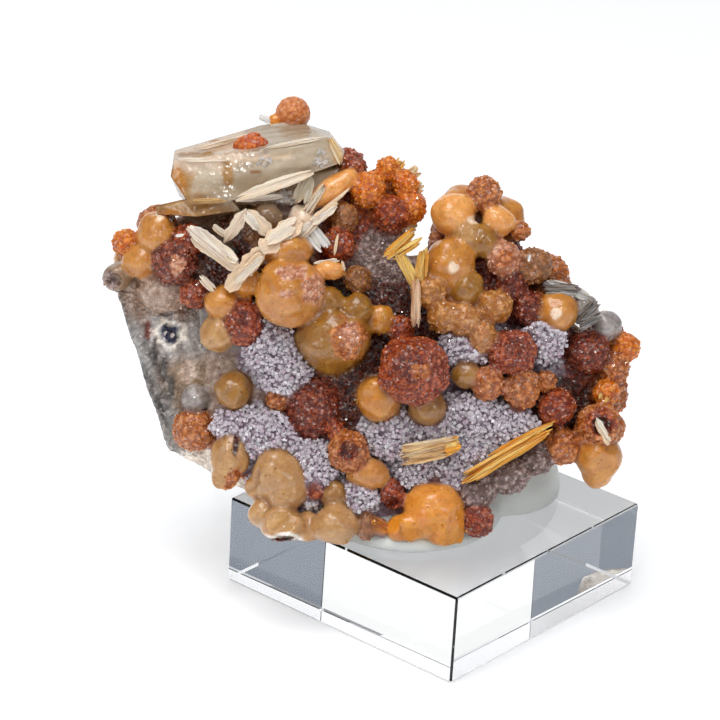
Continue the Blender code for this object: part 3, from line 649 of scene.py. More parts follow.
Patch = namedtuple("Patch", "right up wide tall finish")
# The darkest red-brown patches are painted shade in pits and hollows.
PATCHES = (
    Patch(-8.7, 11.3, 2.3, 1.3, "pink"), Patch(-5.9, 9.0, 1.6, 2.2, "pink"),
    Patch(-9.4, 8.6, 1.0, 0.7, "pink"), Patch(-1.4, 2.6, 2.7, 2.9, "rust"),
    Patch(-1.3, 2.9, 1.3, 1.6, "pink"), Patch(-1.4, -11.7, 1.6, 1.5, "wine"),
    Patch(6.6, -1.0, 2.5, 2.6, "wine"), Patch(8.0, -1.4, 1.6, 1.2, "rust"),
    Patch(31.0, -8.0, 2.2, 1.9, "red"), Patch(31.0, -8.4, 1.3, 1.2, "gap_shade"),
    Patch(12.0, 11.9, 0.9, 0.8, "cream"), Patch(25.1, 5.9, 0.9, 0.8, "cream"),
    Patch(-25.6, 18.6, 0.7, 0.6, "cream"), Patch(-15.9, -10.6, 0.5, 1.9, "gap_shade"),
    Patch(-9.4, -23.0, 3.0, 0.9, "white"), Patch(-9.8, -23.2, 2.2, 0.5, "gap_shade"),
    Patch(-31.6, 10.2, 1.1, 1.2, "smoke"), Patch(-16.0, -15.4, 1.6, 1.7, "rust"),
    Patch(-23.4, 12.2, 1.2, 1.4, "pink"), Patch(-15.2, 5.6, 1.3, 1.5, "wine"),
    Patch(20.0, 1.6, 1.4, 1.4, "wine"), Patch(5.6, -24.2, 2.6, 0.9, "smoke"),
    Patch(18.6, 13.2, 1.3, 1.4, "rust"), Patch(14.6, 18.0, 0.9, 0.7, "cream"),
)
print(len(FLOOR_SPOTS), "floor spots,", len(PATCHES), "patches")

# %% Reading and moving a mesh's points
def rows_of(values, prop, count):
    """A direction or place for each of count mesh points, as rows."""
    flat = np.empty(count * 3, np.float32)
    values.foreach_get(prop, flat)
    return flat.reshape(-1, 3).astype(float)


def mesh_places(mesh):
    """A mesh's points as rows."""
    return rows_of(mesh.vertices, "co", len(mesh.vertices))


def mesh_normals(mesh):
    """The direction that each point of a mesh faces."""
    return rows_of(mesh.vertex_normals, "vector", len(mesh.vertices))


def moved(mesh, places):
    """Puts a mesh's points at new places."""
    mesh.vertices.foreach_set("co", places.astype(np.float32).ravel())
    mesh.update()


def relieved(mesh, height):
    """Moves every point along its normal by its own height, in metres."""
    moved(mesh, mesh_places(mesh) + mesh_normals(mesh) * height[:, None])


def ramp(values, start, span):
    """0 up to start, rising evenly to 1 over the span."""
    return np.clip((values - start) / span, 0.0, 1.0)


def rippled(places, per_mm, shift=0.0):
    """Smooth noise from about -1 to 1 at each place, with this many waves to the millimetre."""
    scale = per_mm / MM
    offset = Vector((shift, shift * 0.7, -shift))
    return np.array([noise.noise(Vector(place) * scale + offset) for place in places])


def streaked(places, along, per_mm, pull):
    """Noise that is drawn out by pull along one direction, as in flaky or fibrous stone."""
    axis = np.array(along)
    stretch = places - (places @ axis)[:, None] * axis * (1.0 - 1.0 / pull)
    return rippled(stretch, per_mm)


def knobbly(places, per_mm):
    """Rounded swellings: 1 in the middle of each cell and falling to about 0 between cells."""
    scale = per_mm / MM
    away = np.array([noise.voronoi(Vector(place) * scale)[0][0] for place in places])
    return np.clip(1.0 - (away / 0.62) ** 2, 0.0, 1.0)


# %% The finish of every point
BLEND_WIDTH = 0.14
FLOOR_DEPTH = 0.32
SPOT_BLEND = 0.3
WARPS = ((1.1, 0.3), (0.35, 1.3))
WARP_RIGHT = 5.0
WARP_UP = 9.0
PATCH_EDGE = 0.25
PATCH_RAGGED = 0.45


def finish_row(name):
    """A finish as one row of seven numbers: its two colours and its sugariness."""
    chosen = FINISHES[name]
    return np.array((*chosen.main, *chosen.other, chosen.sugar))


def warp(places, shift):
    """How far each place is pushed aside before its finish is looked up, in millimetres."""
    return sum(size * rippled(places, per_mm, shift) for size, per_mm in WARPS)


def lump_distance(places, lump):
    """How far outside a lump each place is, in millimetres. It is negative inside."""
    radii = np.array(lump_radii(lump))
    local = (places - lump_centre(lump)) / MM @ np.array(lump_turn(lump)) / radii
    return (np.linalg.norm(local, axis=1) - 1.0) * radii.mean()


def blended(places, lumps, spots, spot_blend=SPOT_BLEND):
    """The finish of each place, as rows of seven numbers. Spots mix over spot_blend millimetres."""
    view = as_seen(places)
    view[:, 0] += warp(places, WARP_RIGHT)
    view[:, 1] += warp(places, WARP_UP)
    to_spot = np.stack([np.hypot(view[:, 0] - s.right, view[:, 1] - s.up) for s in spots])
    total = np.exp(-FLOOR_DEPTH / BLEND_WIDTH) * np.ones(len(places))
    pull = np.exp(-(to_spot - to_spot.min(axis=0)) / spot_blend)
    rows = pull.T @ np.array([finish_row(s.finish) for s in spots]) / pull.sum(axis=0)[:, None]
    mixed = rows * total[:, None]
    for lump in lumps:
        reach = (max(lump_radii(lump)) + 1.2) * MM
        near = np.flatnonzero(((places - lump_centre(lump)) ** 2).sum(axis=1) < reach * reach)
        away = np.clip(lump_distance(places[near], lump), -0.4, 5.0)
        weight = np.exp(-away / BLEND_WIDTH)
        total[near] += weight
        mixed[near] += weight[:, None] * finish_row(lump.finish)
    return mixed / total[:, None]


def patched(rows, places, patches):
    """Paints each patch over the rows, with an uneven edge."""
    view = as_seen(places)
    edge = PATCH_RAGGED * rippled(places, 0.9, 3.0)
    for patch in patches:
        across = (view[:, 0] - patch.right) / patch.wide
        along = (view[:, 1] - patch.up) / patch.tall
        cover = np.clip((1.0 + edge - np.hypot(across, along)) / PATCH_EDGE, 0.0, 1.0)[:, None]
        rows = rows * (1.0 - cover) + finish_row(patch.finish) * cover
    return rows


def between(one, other, share):
    """Colours that go from one to the other as the share goes from 0 to 1."""
    return one * (1.0 - share) + other * share


def paint(mesh, rows, mottle):
    """Stores tint and sugar on a mesh. Mottle, from 0 to 1, leads from one colour to the other."""
    tint = np.ones((len(rows), 4), np.float32)
    tint[:, :3] = between(rows[:, 0:3], rows[:, 3:6], mottle[:, None])
    mesh.attributes.new("tint", "FLOAT_COLOR", "POINT").data.foreach_set("color", tint.ravel())
    sugar = rows[:, 6].astype(np.float32)
    mesh.attributes.new("sugar", "FLOAT", "POINT").data.foreach_set("value", sugar)


def facet(mesh, limit=0.5):
    """Shades sugary faces flat, so that each is a small crystal face, and the rest smooth."""
    sugar = np.empty(len(mesh.vertices), np.float32)
    mesh.attributes["sugar"].data.foreach_get("value", sugar)
    smooth = [bool(sugar[list(face.vertices)].mean() < limit) for face in mesh.polygons]
    mesh.polygons.foreach_set("use_smooth", smooth)


def hollowness(mesh, rounds):
    """How deep each point lies below the evened-out surface around it, in millimetres."""
    places = mesh_places(mesh)
    pairs = np.array([edge.vertices[:] for edge in mesh.edges])
    ends = np.concatenate((pairs[:, 0], pairs[:, 1]))
    others = np.concatenate((pairs[:, 1], pairs[:, 0]))
    many = np.bincount(ends, minlength=len(places))[:, None]
    even = places.copy()
    for _ in range(rounds):
        around = [np.bincount(ends, even[others, axis], len(places)) for axis in range(3)]
        even = 0.4 * even + 0.6 * np.stack(around, axis=1) / many
    return ((even - places) * mesh_normals(mesh)).sum(axis=1) / MM


# %% Chips and dents, where the crust has been knocked
Chip = namedtuple("Chip", "right up out across rise forward")
CHIPS = (
    Chip(7.6, -18.4, 8.0, -0.5, 0.35, 0.8), Chip(11.0, -18.0, 7.6, 0.35, 0.5, 0.8),
    Chip(11.8, -20.6, 7.4, 0.75, -0.2, 0.65), Chip(8.4, -21.6, 8.2, -0.15, -0.45, 0.85),
    Chip(4.8, -20.6, 7.2, -0.75, 0.3, 0.6), Chip(9.8, -16.4, 6.6, 0.1, 0.9, 0.35),
    Chip(-16.0, -14.4, 6.2, -0.2, -0.5, 0.8), Chip(-18.4, -12.6, 5.2, -0.85, 0.1, 0.5),
    Chip(-10.8, -21.0, 9.4, -0.1, 0.2, 0.95), Chip(31.0, -14.0, 2.6, 0.3, -0.5, 0.8),
)
CHIP_REACH = 3.4
Dent = namedtuple("Dent", "right up out radius")
DENTS = (
    Dent(-31.7, 10.1, 0.9, 1.3), Dent(31.0, -8.6, 4.8, 1.7), Dent(-1.4, -11.7, 9.1, 1.3),
    Dent(-9.8, -22.9, 9.6, 1.2), Dent(-15.8, -10.8, 6.9, 0.8),
)


def chipped(mesh, chips, reach):
    """Breaks flat faces into a mesh: points past a chip's plane, near its middle, move onto it."""
    places = mesh_places(mesh)
    for chip in chips:
        middle = np.array(seen(chip.right, chip.up, chip.out))
        facing = np.array((RIGHT * chip.across + UP * chip.rise + OUT * chip.forward).normalized())
        past = (places - middle) @ facing
        near = np.linalg.norm(places - middle, axis=1) < reach * MM
        past = np.where(near & (past > 0.0), past, 0.0)
        places = places - past[:, None] * facing
    moved(mesh, places)


def dented(mesh, dents):
    """Presses round hollows into a mesh, as where a ball has broken out."""
    places = mesh_places(mesh)
    for dent in dents:
        middle = np.array(seen(dent.right, dent.up, dent.out))
        away = places - middle
        far = np.linalg.norm(away, axis=1) + 1e-9
        inside = (far < dent.radius * MM) & (away @ np.array(OUT) < 0.0)
        push = np.where(inside, dent.radius * MM / far, 1.0)
        places = middle + away * push[:, None]
    moved(mesh, places)


chipped(crust.data, CHIPS, CHIP_REACH)
dented(crust.data, DENTS)
print(len(CHIPS), "chips,", len(DENTS), "dents")

# %% Find the finish and the lilac floor of the crust, and paint shade into its sunken places
LILAC_SURE = 1.2
LILAC_REACH = 0.16
SUNK_FROM = 0.05
SUNK_SPAN = 0.45
SUNK_SHADE = 0.8
LILAC_SPARED = 0.6
SHADE_OF_CHANNELS = (0.55, 0.78, 0.85)

places = mesh_places(crust.data)
rows = patched(blended(places, CRUST_LUMPS + CRUST_BUDS, FLOOR_SPOTS), places, PATCHES)
# The finish before the painted shade, which the sown crystals mostly take.
unshaded_rows = rows.copy()
lilac_far = np.abs(rows[:, 0:3] - np.array(FINISHES["lilac"].main)).sum(axis=1)
hollow = np.clip(LILAC_SURE - lilac_far / LILAC_REACH, 0.0, 1.0)
# Painted shade: points sunk below the evened-out surface are darkened, the lilac floor less so.
shadow = ramp(hollowness(crust.data, 26), SUNK_FROM, SUNK_SPAN)[:, None] * SUNK_SHADE
lilac_share = np.clip(rows[:, 2:3] / rows[:, 0:1] - 0.5, 0.0, 0.5) * 2.0
rows[:, 0:6] *= 1.0 - shadow * (1.0 - LILAC_SPARED * lilac_share) * np.array(SHADE_OF_CHANNELS * 2)
print("lilac floor on", int(hollow.sum()), "of", len(places), "points")

# %% Paint the crust with painted shade and light on its knobs, and work its relief into the mesh
KNOBS_PER_MM = 1.35
KNOB_LEVEL = 0.6
KNOB_SHADE = 0.44
SWELL_RELIEF = 0.34
WAVE_RELIEF = 0.13
KNOB_RELIEF = 0.19
FINE_RELIEF = 0.05
GRAIN_RELIEF = 0.04

wave = rippled(places, 0.7)
swell = rippled(places, 0.28, 3.0)
fine = rippled(places, 2.3, 7.0)
draw = np.random.default_rng(5)
grain = draw.uniform(-1.0, 1.0, len(places))
knobs = knobbly(places, KNOBS_PER_MM)
drusy = ramp(rows[:, 6], 0.3, 0.5)
# On sugary parts the knob tops are painted towards the lighter colour as painted light, and random grain
# varies the tone.
knob_light_and_mottle = (0.9 * (knobs - KNOB_LEVEL) + 0.2 * grain) * drusy
# Painted shade darkens the valleys between the sugary knobs.
rows[:, 0:6] *= 1.0 - KNOB_SHADE * (drusy * (1.0 - knobs))[:, None]
paint(crust.data, rows, np.clip(0.40 + 0.4 * wave + 0.3 * fine + knob_light_and_mottle, 0.0, 1.0))
rough = (KNOB_RELIEF * (knobs - KNOB_LEVEL) + FINE_RELIEF * fine + GRAIN_RELIEF * grain) * drusy
relieved(crust.data, (SWELL_RELIEF * swell + WAVE_RELIEF * wave + rough) * MM)
facet(crust.data)
print("painted", len(places), "points")

# %% Divide the crust in two at a valley, so that neither half is too heavy a mesh
CRUST_DIVIDE = 3.0


def half_of(source, name, keep_right):
    """One side of a piece, cut upright through the viewer's line CRUST_DIVIDE and closed."""
    shape = bmesh.new()
    shape.from_mesh(source.data)
    for edge in cut_away(shape, seen(CRUST_DIVIDE, 0.0, 0.0), RIGHT if keep_right else -RIGHT):
        edge.smooth = False
    return thing(name, shape)


crust_halves = [
    half_of(crust, "smithsonite_skin_left", False),
    half_of(crust, "smithsonite_skin_right", True),
]
for half in crust_halves:
    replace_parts(half, "smithsonite_crust")
    print(half.name, len(half.data.polygons), "faces")

# %% [markdown]
# ## Crystals by the thousand
#
# The sugary parts are really coats of tiny rhombs, and the hollows are lined with glassy fluorite
# cubes. One small shape is made with an operator and copied to seeded random places on a skin,
# each copy turned its own way. All copies are one mesh, which stays light because each has six faces.

# %% Sow a small shape over a skin
SHARP_RHOMB = 1.25


def seed_shape(stretch=1.0):
    """The points and faces of a unit cube, pulled out along its diagonal into a rhomb."""
    shape = bmesh.new()
    bmesh.ops.create_cube(shape, size=1.0)
    bmesh.ops.transform(shape, matrix=Matrix.Scale(stretch, 4, (0.577, 0.577, 0.577)), verts=shape.verts)
    return points_and_faces(shape)


def sites(mesh, share, per_mm2, draw):
    """Random places on a mesh, more of them where share is high, as points, normals, nearest point."""
    mesh.calc_loop_triangles()
    corners = np.array([triangle.vertices[:] for triangle in mesh.loop_triangles])
    areas = np.array([triangle.area for triangle in mesh.loop_triangles]) / MM**2
    weight = areas * share[corners].mean(axis=1)
    count = int(weight.sum() * per_mm2)
    picked = corners[draw.choice(len(corners), size=count, p=weight / weight.sum())]
    mix = draw.dirichlet((1.0, 1.0, 1.0), size=count)
    here = (mesh_places(mesh)[picked] * mix[:, :, None]).sum(axis=1)
    return here, mesh_normals(mesh)[picked[:, 0]], picked[:, 0]


def within_ovals(view, ovals):
    """1 where a seen point is inside any of some ovals, fading to 0 just outside them."""
    inside = np.zeros(len(view))
    for right, up, wide, tall in ovals:
        reach = np.hypot((view[:, 0] - right) / wide, (view[:, 1] - up) / tall)
        inside = np.maximum(inside, np.clip((1.1 - reach) / 0.2, 0.0, 1.0))
    return inside


def random_turns(count, draw):
    """Turning matrices that point every way alike."""
    w, x, y, z = (draw.normal(size=(count, 4)).T)
    length = np.sqrt(w * w + x * x + y * y + z * z)
    w, x, y, z = w / length, x / length, y / length, z / length
    rows = (
        (1 - 2 * (y * y + z * z), 2 * (x * y - w * z), 2 * (x * z + w * y)),
        (2 * (x * y + w * z), 1 - 2 * (x * x + z * z), 2 * (y * z - w * x)),
        (2 * (x * z - w * y), 2 * (y * z + w * x), 1 - 2 * (x * x + y * y)),
    )
    return np.array(rows).transpose(2, 0, 1)


def sown(name, seed, places, sizes, tints, draw):
    """One piece with a copy of a small shape at every place, each of its own size and tint."""
    points, faces = seed
    turns = random_turns(len(places), draw)
    copies = np.einsum("nij,mj->nmi", turns, points) * sizes[:, None, None] + places[:, None, :]
    mesh = repeated(name, copies, faces)
    tint = np.ones((len(places), len(points), 4), np.float32)
    tint[:, :, :3] = tints[:, None, :]
    mesh.attributes.new("tint", "FLOAT_COLOR", "POINT").data.foreach_set("color", tint.ravel())
    print(name, len(places), "crystals")
    return rider(name, mesh)


# %% The sugar on the smithsonite
SUGAR_PER_MM2 = 5.0
SUGAR_SIZES = (0.13, 0.27)
SUGAR_DEPTH = 0.05
DUSTING = 0.06

draw = np.random.default_rng(11)
view = as_seen(mesh_places(crust.data))
shown = ramp(mesh_normals(crust.data) @ np.array(OUT), -0.7, 0.5)
sugary = np.clip((rows[:, 6] - 0.45) / 0.4, DUSTING, 1.0) * shown
spots, normals, nearest = sites(crust.data, sugary, SUGAR_PER_MM2, draw)
sizes = draw.uniform(*SUGAR_SIZES, len(spots)) * MM
share = draw.uniform(0.0, 1.0, len(spots))[:, None] ** 1.6
# The crystals take the skin's colours with a quarter of its painted shade.
under = 0.25 * rows[nearest] + 0.75 * unshaded_rows[nearest]
sugar = sown("smithsonite_sugar", seed_shape(SHARP_RHOMB), spots - normals * SUGAR_DEPTH * MM, sizes,
             between(under[:, 0:3], under[:, 3:6], share), draw)

# %% [markdown]
# ## The fluorite
#
# The cubes stand in the hollows only, so they are sown where the skin has its lilac floor. They
# differ in size and in how far they stand out, which gives the lumpy, glassy look with dark gaps
# between the cubes.

# %% The fluorite cubes, a piece for each of the model's druses
FLUORITE_PATCHES = {
    "fluorite_druse_upper": ((-11.0, 0.3, 4.0, 5.4), (-4.6, -2.6, 4.6, 1.9)),
    "fluorite_druse_left": ((-13.6, -9.4, 5.4, 4.6), (-13.8, -17.4, 2.2, 2.6)),
    "fluorite_druse_lower": ((-6.2, -15.0, 4.4, 4.9),),
    "fluorite_druse_foot": ((0.0, -17.6, 2.6, 3.0), (0.4, -6.4, 2.2, 3.4)),
    "fluorite_druse_middle": ((4.8, -10.0, 6.4, 4.4), (13.2, -9.6, 7.0, 5.2), (19.0, -7.4, 4.8, 4.2),
                              (9.0, -14.8, 6.4, 2.6)),
    "fluorite_druse_side": ((13.8, 1.8, 4.0, 2.8),),
    "fluorite_druse_right": ((23.4, 1.8, 3.0, 3.8), (30.8, 0.4, 1.6, 1.4)),
}
CUBES_PER_MM2 = 13.0
CUBE_SIZES = (0.14, 0.46)
CUBE_LIFTS = (-0.1, 0.7)
PALE_FLUORITE = np.array(colour(255, 252, 255))
DEEP_FLUORITE = np.array(colour(230, 208, 224))

cube = seed_shape()
fluorite = []
for number, (node, ovals) in enumerate(FLUORITE_PATCHES.items()):
    draw = np.random.default_rng(40 + number)
    inside = within_ovals(view, ovals)
    spots, normals, _ = sites(crust.data, inside * hollow * shown, CUBES_PER_MM2, draw)
    lift = draw.uniform(*CUBE_LIFTS, len(spots))[:, None] * MM
    sizes = draw.uniform(*CUBE_SIZES, len(spots)) * MM
    share = draw.uniform(0.0, 1.0, len(spots))[:, None] ** 0.6
    piece = sown(node.replace("druse", "cubes"), cube, spots + normals * lift, sizes,
                 between(DEEP_FLUORITE, PALE_FLUORITE, share), draw)
    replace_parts(piece, node)
    fluorite.append(piece)

bpy.data.objects.remove(crust)

# %% [markdown]
# ## The host rock
#
# The rock is a broken piece: flat faces with a rough, flaky grain, silvery where it broke at the
# left. Its solid in the model has the right faces, so a copy of it is merged, remeshed in small
# cells and given its roughness by moving the points.

# %% The rock's spots and patches
ROCK_SPOTS = (
    Spot(-30.0, 3.0, "silver"), Spot(-28.4, -2.0, "silver"), Spot(-26.0, -7.0, "silver"),
    Spot(-24.0, -11.5, "silver"), Spot(-26.0, 7.0, "beige"), Spot(-23.0, 2.5, "grey"),
    Spot(-22.5, -2.5, "taupe"), Spot(-21.5, -12.0, "white"), Spot(-19.0, -14.0, "white"),
    Spot(-10.0, -19.0, "taupe"), Spot(3.0, -20.0, "taupe"), Spot(12.0, -19.0, "smoke"),
    Spot(22.0, -14.0, "smoke"), Spot(28.0, -5.0, "taupe"), Spot(-10.0, 22.0, "taupe"),
    Spot(14.0, 14.0, "taupe"), Spot(0.0, 5.0, "grey"), Spot(-12.0, 5.0, "grey"),
)

# The darkest red-brown patch is painted shade in a narrow gap of the rock.
ROCK_PATCHES = (
    Patch(-25.0, 3.4, 3.6, 2.9, "grey"), Patch(-24.3, 3.3, 2.4, 2.1, "white"),
    Patch(-24.3, 3.3, 1.5, 1.4, "ink"), Patch(-27.2, 3.8, 0.6, 1.6, "gap_shade"),
    Patch(-26.3, 1.2, 0.5, 1.8, "shade"), Patch(-25.2, -1.2, 0.6, 1.8, "shade"),
    Patch(-24.2, -3.6, 0.5, 1.6, "shade"), Patch(-22.0, -1.6, 1.0, 1.6, "beige"),
    Patch(-21.2, -12.6, 2.4, 1.2, "white"), Patch(-19.4, -13.6, 2.6, 1.0, "white"),
)
print(len(ROCK_SPOTS), "rock spots,", len(ROCK_PATCHES), "patches")

# %% Take the rock from the model and roughen it
ROCK_CELL = 0.42 * MM
ROCK_SPOT_BLEND = 0.9
ROCK_FACETS = 0.3
LUMPY_RELIEF = 0.30
FLAKE_RELIEF = 0.24
CRACK_RELIEF = 0.22
ROCK_GRAIN_RELIEF = 0.07


def cad_copy(name, *nodes):
    """A piece made from copies of the model's own solids, with their loose triangles merged."""
    shape = bmesh.new()
    for node in nodes:
        shape.from_mesh(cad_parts[node].data)
    bmesh.ops.remove_doubles(shape, verts=shape.verts, dist=0.002 * MM)
    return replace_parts(thing(name, shape), *nodes)


rock = remeshed(cad_copy("rock_skin", "matrix_rock"), ROCK_CELL, smoothing=1)
places = mesh_places(rock.data)
rows = patched(blended(places, (), ROCK_SPOTS, ROCK_SPOT_BLEND), places, ROCK_PATCHES)
band = (UP * 3.0 - RIGHT).normalized()
flakes = streaked(places, band, 0.9, 5.0)
lumpy = rippled(places, 0.22)
draw = np.random.default_rng(21)
grain = draw.uniform(-1.0, 1.0, len(places))
cracks = 1.0 - 2.0 * np.abs(streaked(places, band, 0.5, 3.0))
relieved(rock.data, (LUMPY_RELIEF * lumpy + FLAKE_RELIEF * flakes + CRACK_RELIEF * cracks
                     + ROCK_GRAIN_RELIEF * grain) * MM)
paint(rock.data, rows, np.clip(0.05 + 0.85 * flakes + 0.5 * cracks + 0.2 * grain, 0.0, 1.0))
facet(rock.data, ROCK_FACETS)
print("rock skin:", len(rock.data.polygons), "faces")

# %% [markdown]
# ## The big celestite crystal
#
# A thick grey-beige tablet, clear enough to show cloudy bands inside, with a pale fibrous top. The
# model's solid has its corners and steps. The copy gets eased edges and fine growth lines.

# %% The tablet's spots and patches
TABLE_SPOTS = (
    Spot(-23.5, 22.5, "tan"), Spot(-19.0, 22.0, "clear"), Spot(-14.0, 22.5, "clear"),
    Spot(-8.0, 24.0, "clear"), Spot(-4.0, 26.0, "clear"), Spot(-22.5, 26.2, "cream"),
    Spot(-17.0, 27.2, "cream"), Spot(-12.0, 28.4, "clear"), Spot(-7.0, 29.6, "clear"),
    Spot(-20.0, 19.4, "tan"), Spot(-25.0, 19.4, "tan"), Spot(-13.0, 20.4, "clear"),
)
TABLE_PATCHES = (
    Patch(-23.4, 23.0, 1.2, 1.9, "ochre"), Patch(-17.0, 24.2, 0.8, 2.2, "tan"),
    Patch(-14.0, 26.0, 6.0, 0.5, "cream"), Patch(-3.0, 27.2, 1.1, 2.4, "peach"),
    Patch(-21.0, 26.4, 2.4, 0.4, "tan"), Patch(-13.4, 24.2, 0.7, 0.3, "brown"),
    Patch(-18.0, 28.0, 2.0, 0.3, "ochre"), Patch(-24.0, 18.6, 2.2, 0.7, "ochre"),
)
print(len(TABLE_SPOTS), "tablet spots,", len(TABLE_PATCHES), "patches")

# %% Refine the tablet
TABLE_FACE = 0.55 * MM
TABLE_EDGE = 0.14 * MM
FLAT_WITHIN = math.radians(2.0)
SHARP_FROM = math.radians(38.0)
GROWTH_RELIEF = 0.05


def refine(shape, longest, rounds=6):
    """Splits the longer edges of a triangle mesh in a few rounds."""
    bmesh.ops.triangulate(shape, faces=shape.faces)
    for _ in range(rounds):
        too_long = [edge for edge in shape.edges if edge.calc_length() > longest]
        if not too_long:
            break
        bmesh.ops.subdivide_edges(shape, edges=too_long, cuts=1)
        bmesh.ops.triangulate(shape, faces=[face for face in shape.faces if len(face.verts) > 3])


def smoothed(mesh):
    """Shades a whole mesh smooth."""
    mesh.polygons.foreach_set("use_smooth", [True] * len(mesh.polygons))


table = cad_copy("celestite_tablet", "celestite_table")
shape = bmesh.new()
shape.from_mesh(table.data)
bmesh.ops.dissolve_limit(shape, angle_limit=FLAT_WITHIN, verts=shape.verts, edges=shape.edges)
bmesh.ops.bevel(shape, geom=shape.edges, offset=TABLE_EDGE, segments=1, profile=0.5,
                affect="EDGES", material=-1, clamp_overlap=True)
refine(shape, TABLE_FACE)
bmesh.ops.recalc_face_normals(shape, faces=shape.faces)
shape.to_mesh(table.data)
shape.free()
places = mesh_places(table.data)
table_long = (seen(-4.0, 28.0, 0.0) - seen(-24.0, 24.0, 0.0)).normalized()
lines = streaked(places, table_long, 1.1, 7.0)
rows = patched(blended(places, (), TABLE_SPOTS), places, TABLE_PATCHES)
paint(table.data, rows, np.clip(0.4 + 0.7 * lines, 0.0, 1.0))
relieved(table.data, GROWTH_RELIEF * lines * MM)
smoothed(table.data)
table.data.set_sharp_from_angle(angle=SHARP_FROM)
print("tablet:", len(table.data.polygons), "faces")

# %% Sparkling crystals on the tablet's front
SPARKLE_OVALS = (
    (-5.1, 25.9, 0.9, 1.0), (-9.7, 20.6, 1.4, 1.3), (-7.0, 21.8, 0.8, 0.8), (-12.3, 25.4, 1.0, 0.6),
)
SPARKLES_PER_MM2 = 9.0
SPARKLE_SIZES = (0.22, 0.5)

draw = np.random.default_rng(25)
inside = within_ovals(as_seen(mesh_places(table.data)), SPARKLE_OVALS)
inside *= mesh_normals(table.data) @ np.array(OUT) > 0.0
spots, normals, _ = sites(table.data, inside, SPARKLES_PER_MM2, draw)
sizes = draw.uniform(*SPARKLE_SIZES, len(spots)) * MM
share = draw.uniform(0.0, 1.0, len(spots))[:, None]
sparkle = sown("celestite_sparkle", cube, spots, sizes,
               between(np.array(FINISHES["clear"].other), PALE_FLUORITE, share), draw)

# %% [markdown]
# ## Blades and laths
#
# The other celestite crystals are flat blades that split along their length into splinters. Each is
# a bundle: a cube drawn out, divided, narrowed to its ends and roughened, several to a blade. The
# grain attribute keeps each point's place along and across its splinter, so the fibres in the
# finish follow the blade.

# %% One splinter
def bar_shape(cuts, splits):
    """A cube drawn from -0.5 to 0.5 each way, cut across and along, as a mesh to copy."""
    shape = bmesh.new()
    bmesh.ops.create_cube(shape, size=1.0)
    for axis, many in ((0, cuts), (1, splits)):
        long_edges = [e for e in shape.edges if abs(e.verts[0].co[axis] - e.verts[1].co[axis]) > 0.5]
        bmesh.ops.subdivide_edges(shape, edges=long_edges, cuts=many, use_grid_fill=True)
    return mesh_of("divided_bar", shape)


divided_bar = bar_shape(13, 3)


def add_splinter(shape, start, end, wide, thick, tint, draw):
    """One leaf-like splinter from start to end, in metres, with its tint and grain on its points."""
    along = end - start
    length = along.length
    along.normalize()
    across = OUT.cross(along).normalized()
    across = Matrix.Rotation(draw.uniform(-0.35, 0.35), 3, along) @ across
    through = along.cross(across)
    before = len(shape.verts)
    shape.from_mesh(divided_bar)
    shape.verts.ensure_lookup_table()
    tint_layer = shape.verts.layers.float_color["tint"]
    grain_layer = shape.verts.layers.float_vector["grain"]
    tip = draw.uniform(0.12, 0.45)
    bend = draw.uniform(-0.08, 0.08)
    shift = draw.uniform(0.0, 50.0)
    for vert in shape.verts[before:]:
        x, y, z = vert.co
        narrow = min(1.0, tip + (0.5 - abs(x)) * 3.6)
        side = 1.0 if y > 0.0 else -1.0
        ragged = 1.0 + 0.5 * noise.noise(Vector((x * length / MM * 1.1 + shift, side * 3.0, 0.0)))
        ridge = 0.5 * noise.noise(Vector((x * 1.5 + shift, y * 6.0, 7.0)))
        y *= wide * narrow * ragged
        z *= thick * (0.4 + 0.6 * narrow)
        z += ridge * thick
        y += bend * length * (0.25 - x * x)
        vert[tint_layer] = (*tint, 1.0)
        vert[grain_layer] = Vector((x * length / MM, y / MM + shift, z / MM))
        vert.co = (start + end) / 2 + along * x * length + across * y + through * z


# %% A bundle of splinters
Blade = namedtuple("Blade", "start end wide thick finish splinters")
MORE_SPLINTERS = 1.6
OVERLAPS = {1: 1.0, 2: 1.4}
USUAL_OVERLAP = 1.9


def blade_piece(name, nodes, blades, seed):
    """A piece with all the splinters of some blades, standing for nodes of the model."""
    draw = random.Random(seed)
    shape = bmesh.new()
    shape.verts.layers.float_color.new("tint")
    shape.verts.layers.float_vector.new("grain")
    for blade in blades:
        start, end = seen(*blade.start), seen(*blade.end)
        along = (end - start).normalized()
        across = OUT.cross(along).normalized()
        length = (end - start).length
        finish = FINISHES[blade.finish]
        many = round(blade.splinters * MORE_SPLINTERS) if blade.splinters > 2 else blade.splinters
        wide = blade.wide * OVERLAPS.get(many, USUAL_OVERLAP) / many * MM
        for number in range(many):
            side = (number + 0.5) / many - 0.5
            shift = across * side * blade.wide * 0.8 * MM + OUT * draw.uniform(-0.3, 0.3) * blade.thick * MM
            trim_start = along * length * draw.uniform(-0.03, 0.16)
            trim_end = along * length * draw.uniform(-0.03, 0.16)
            skew = across * draw.uniform(-0.12, 0.12) * blade.wide * MM
            share = draw.random()
            tint = [between(*pair, share) for pair in zip(finish.main, finish.other)]
            add_splinter(shape, start + shift + trim_start + skew, end + shift - trim_end - skew,
                         wide, blade.thick * 0.5 * MM, tint, draw)
    piece = thing(name, shape)
    if nodes:
        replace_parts(piece, *nodes)
    print(name, len(piece.data.polygons), "faces")
    return piece


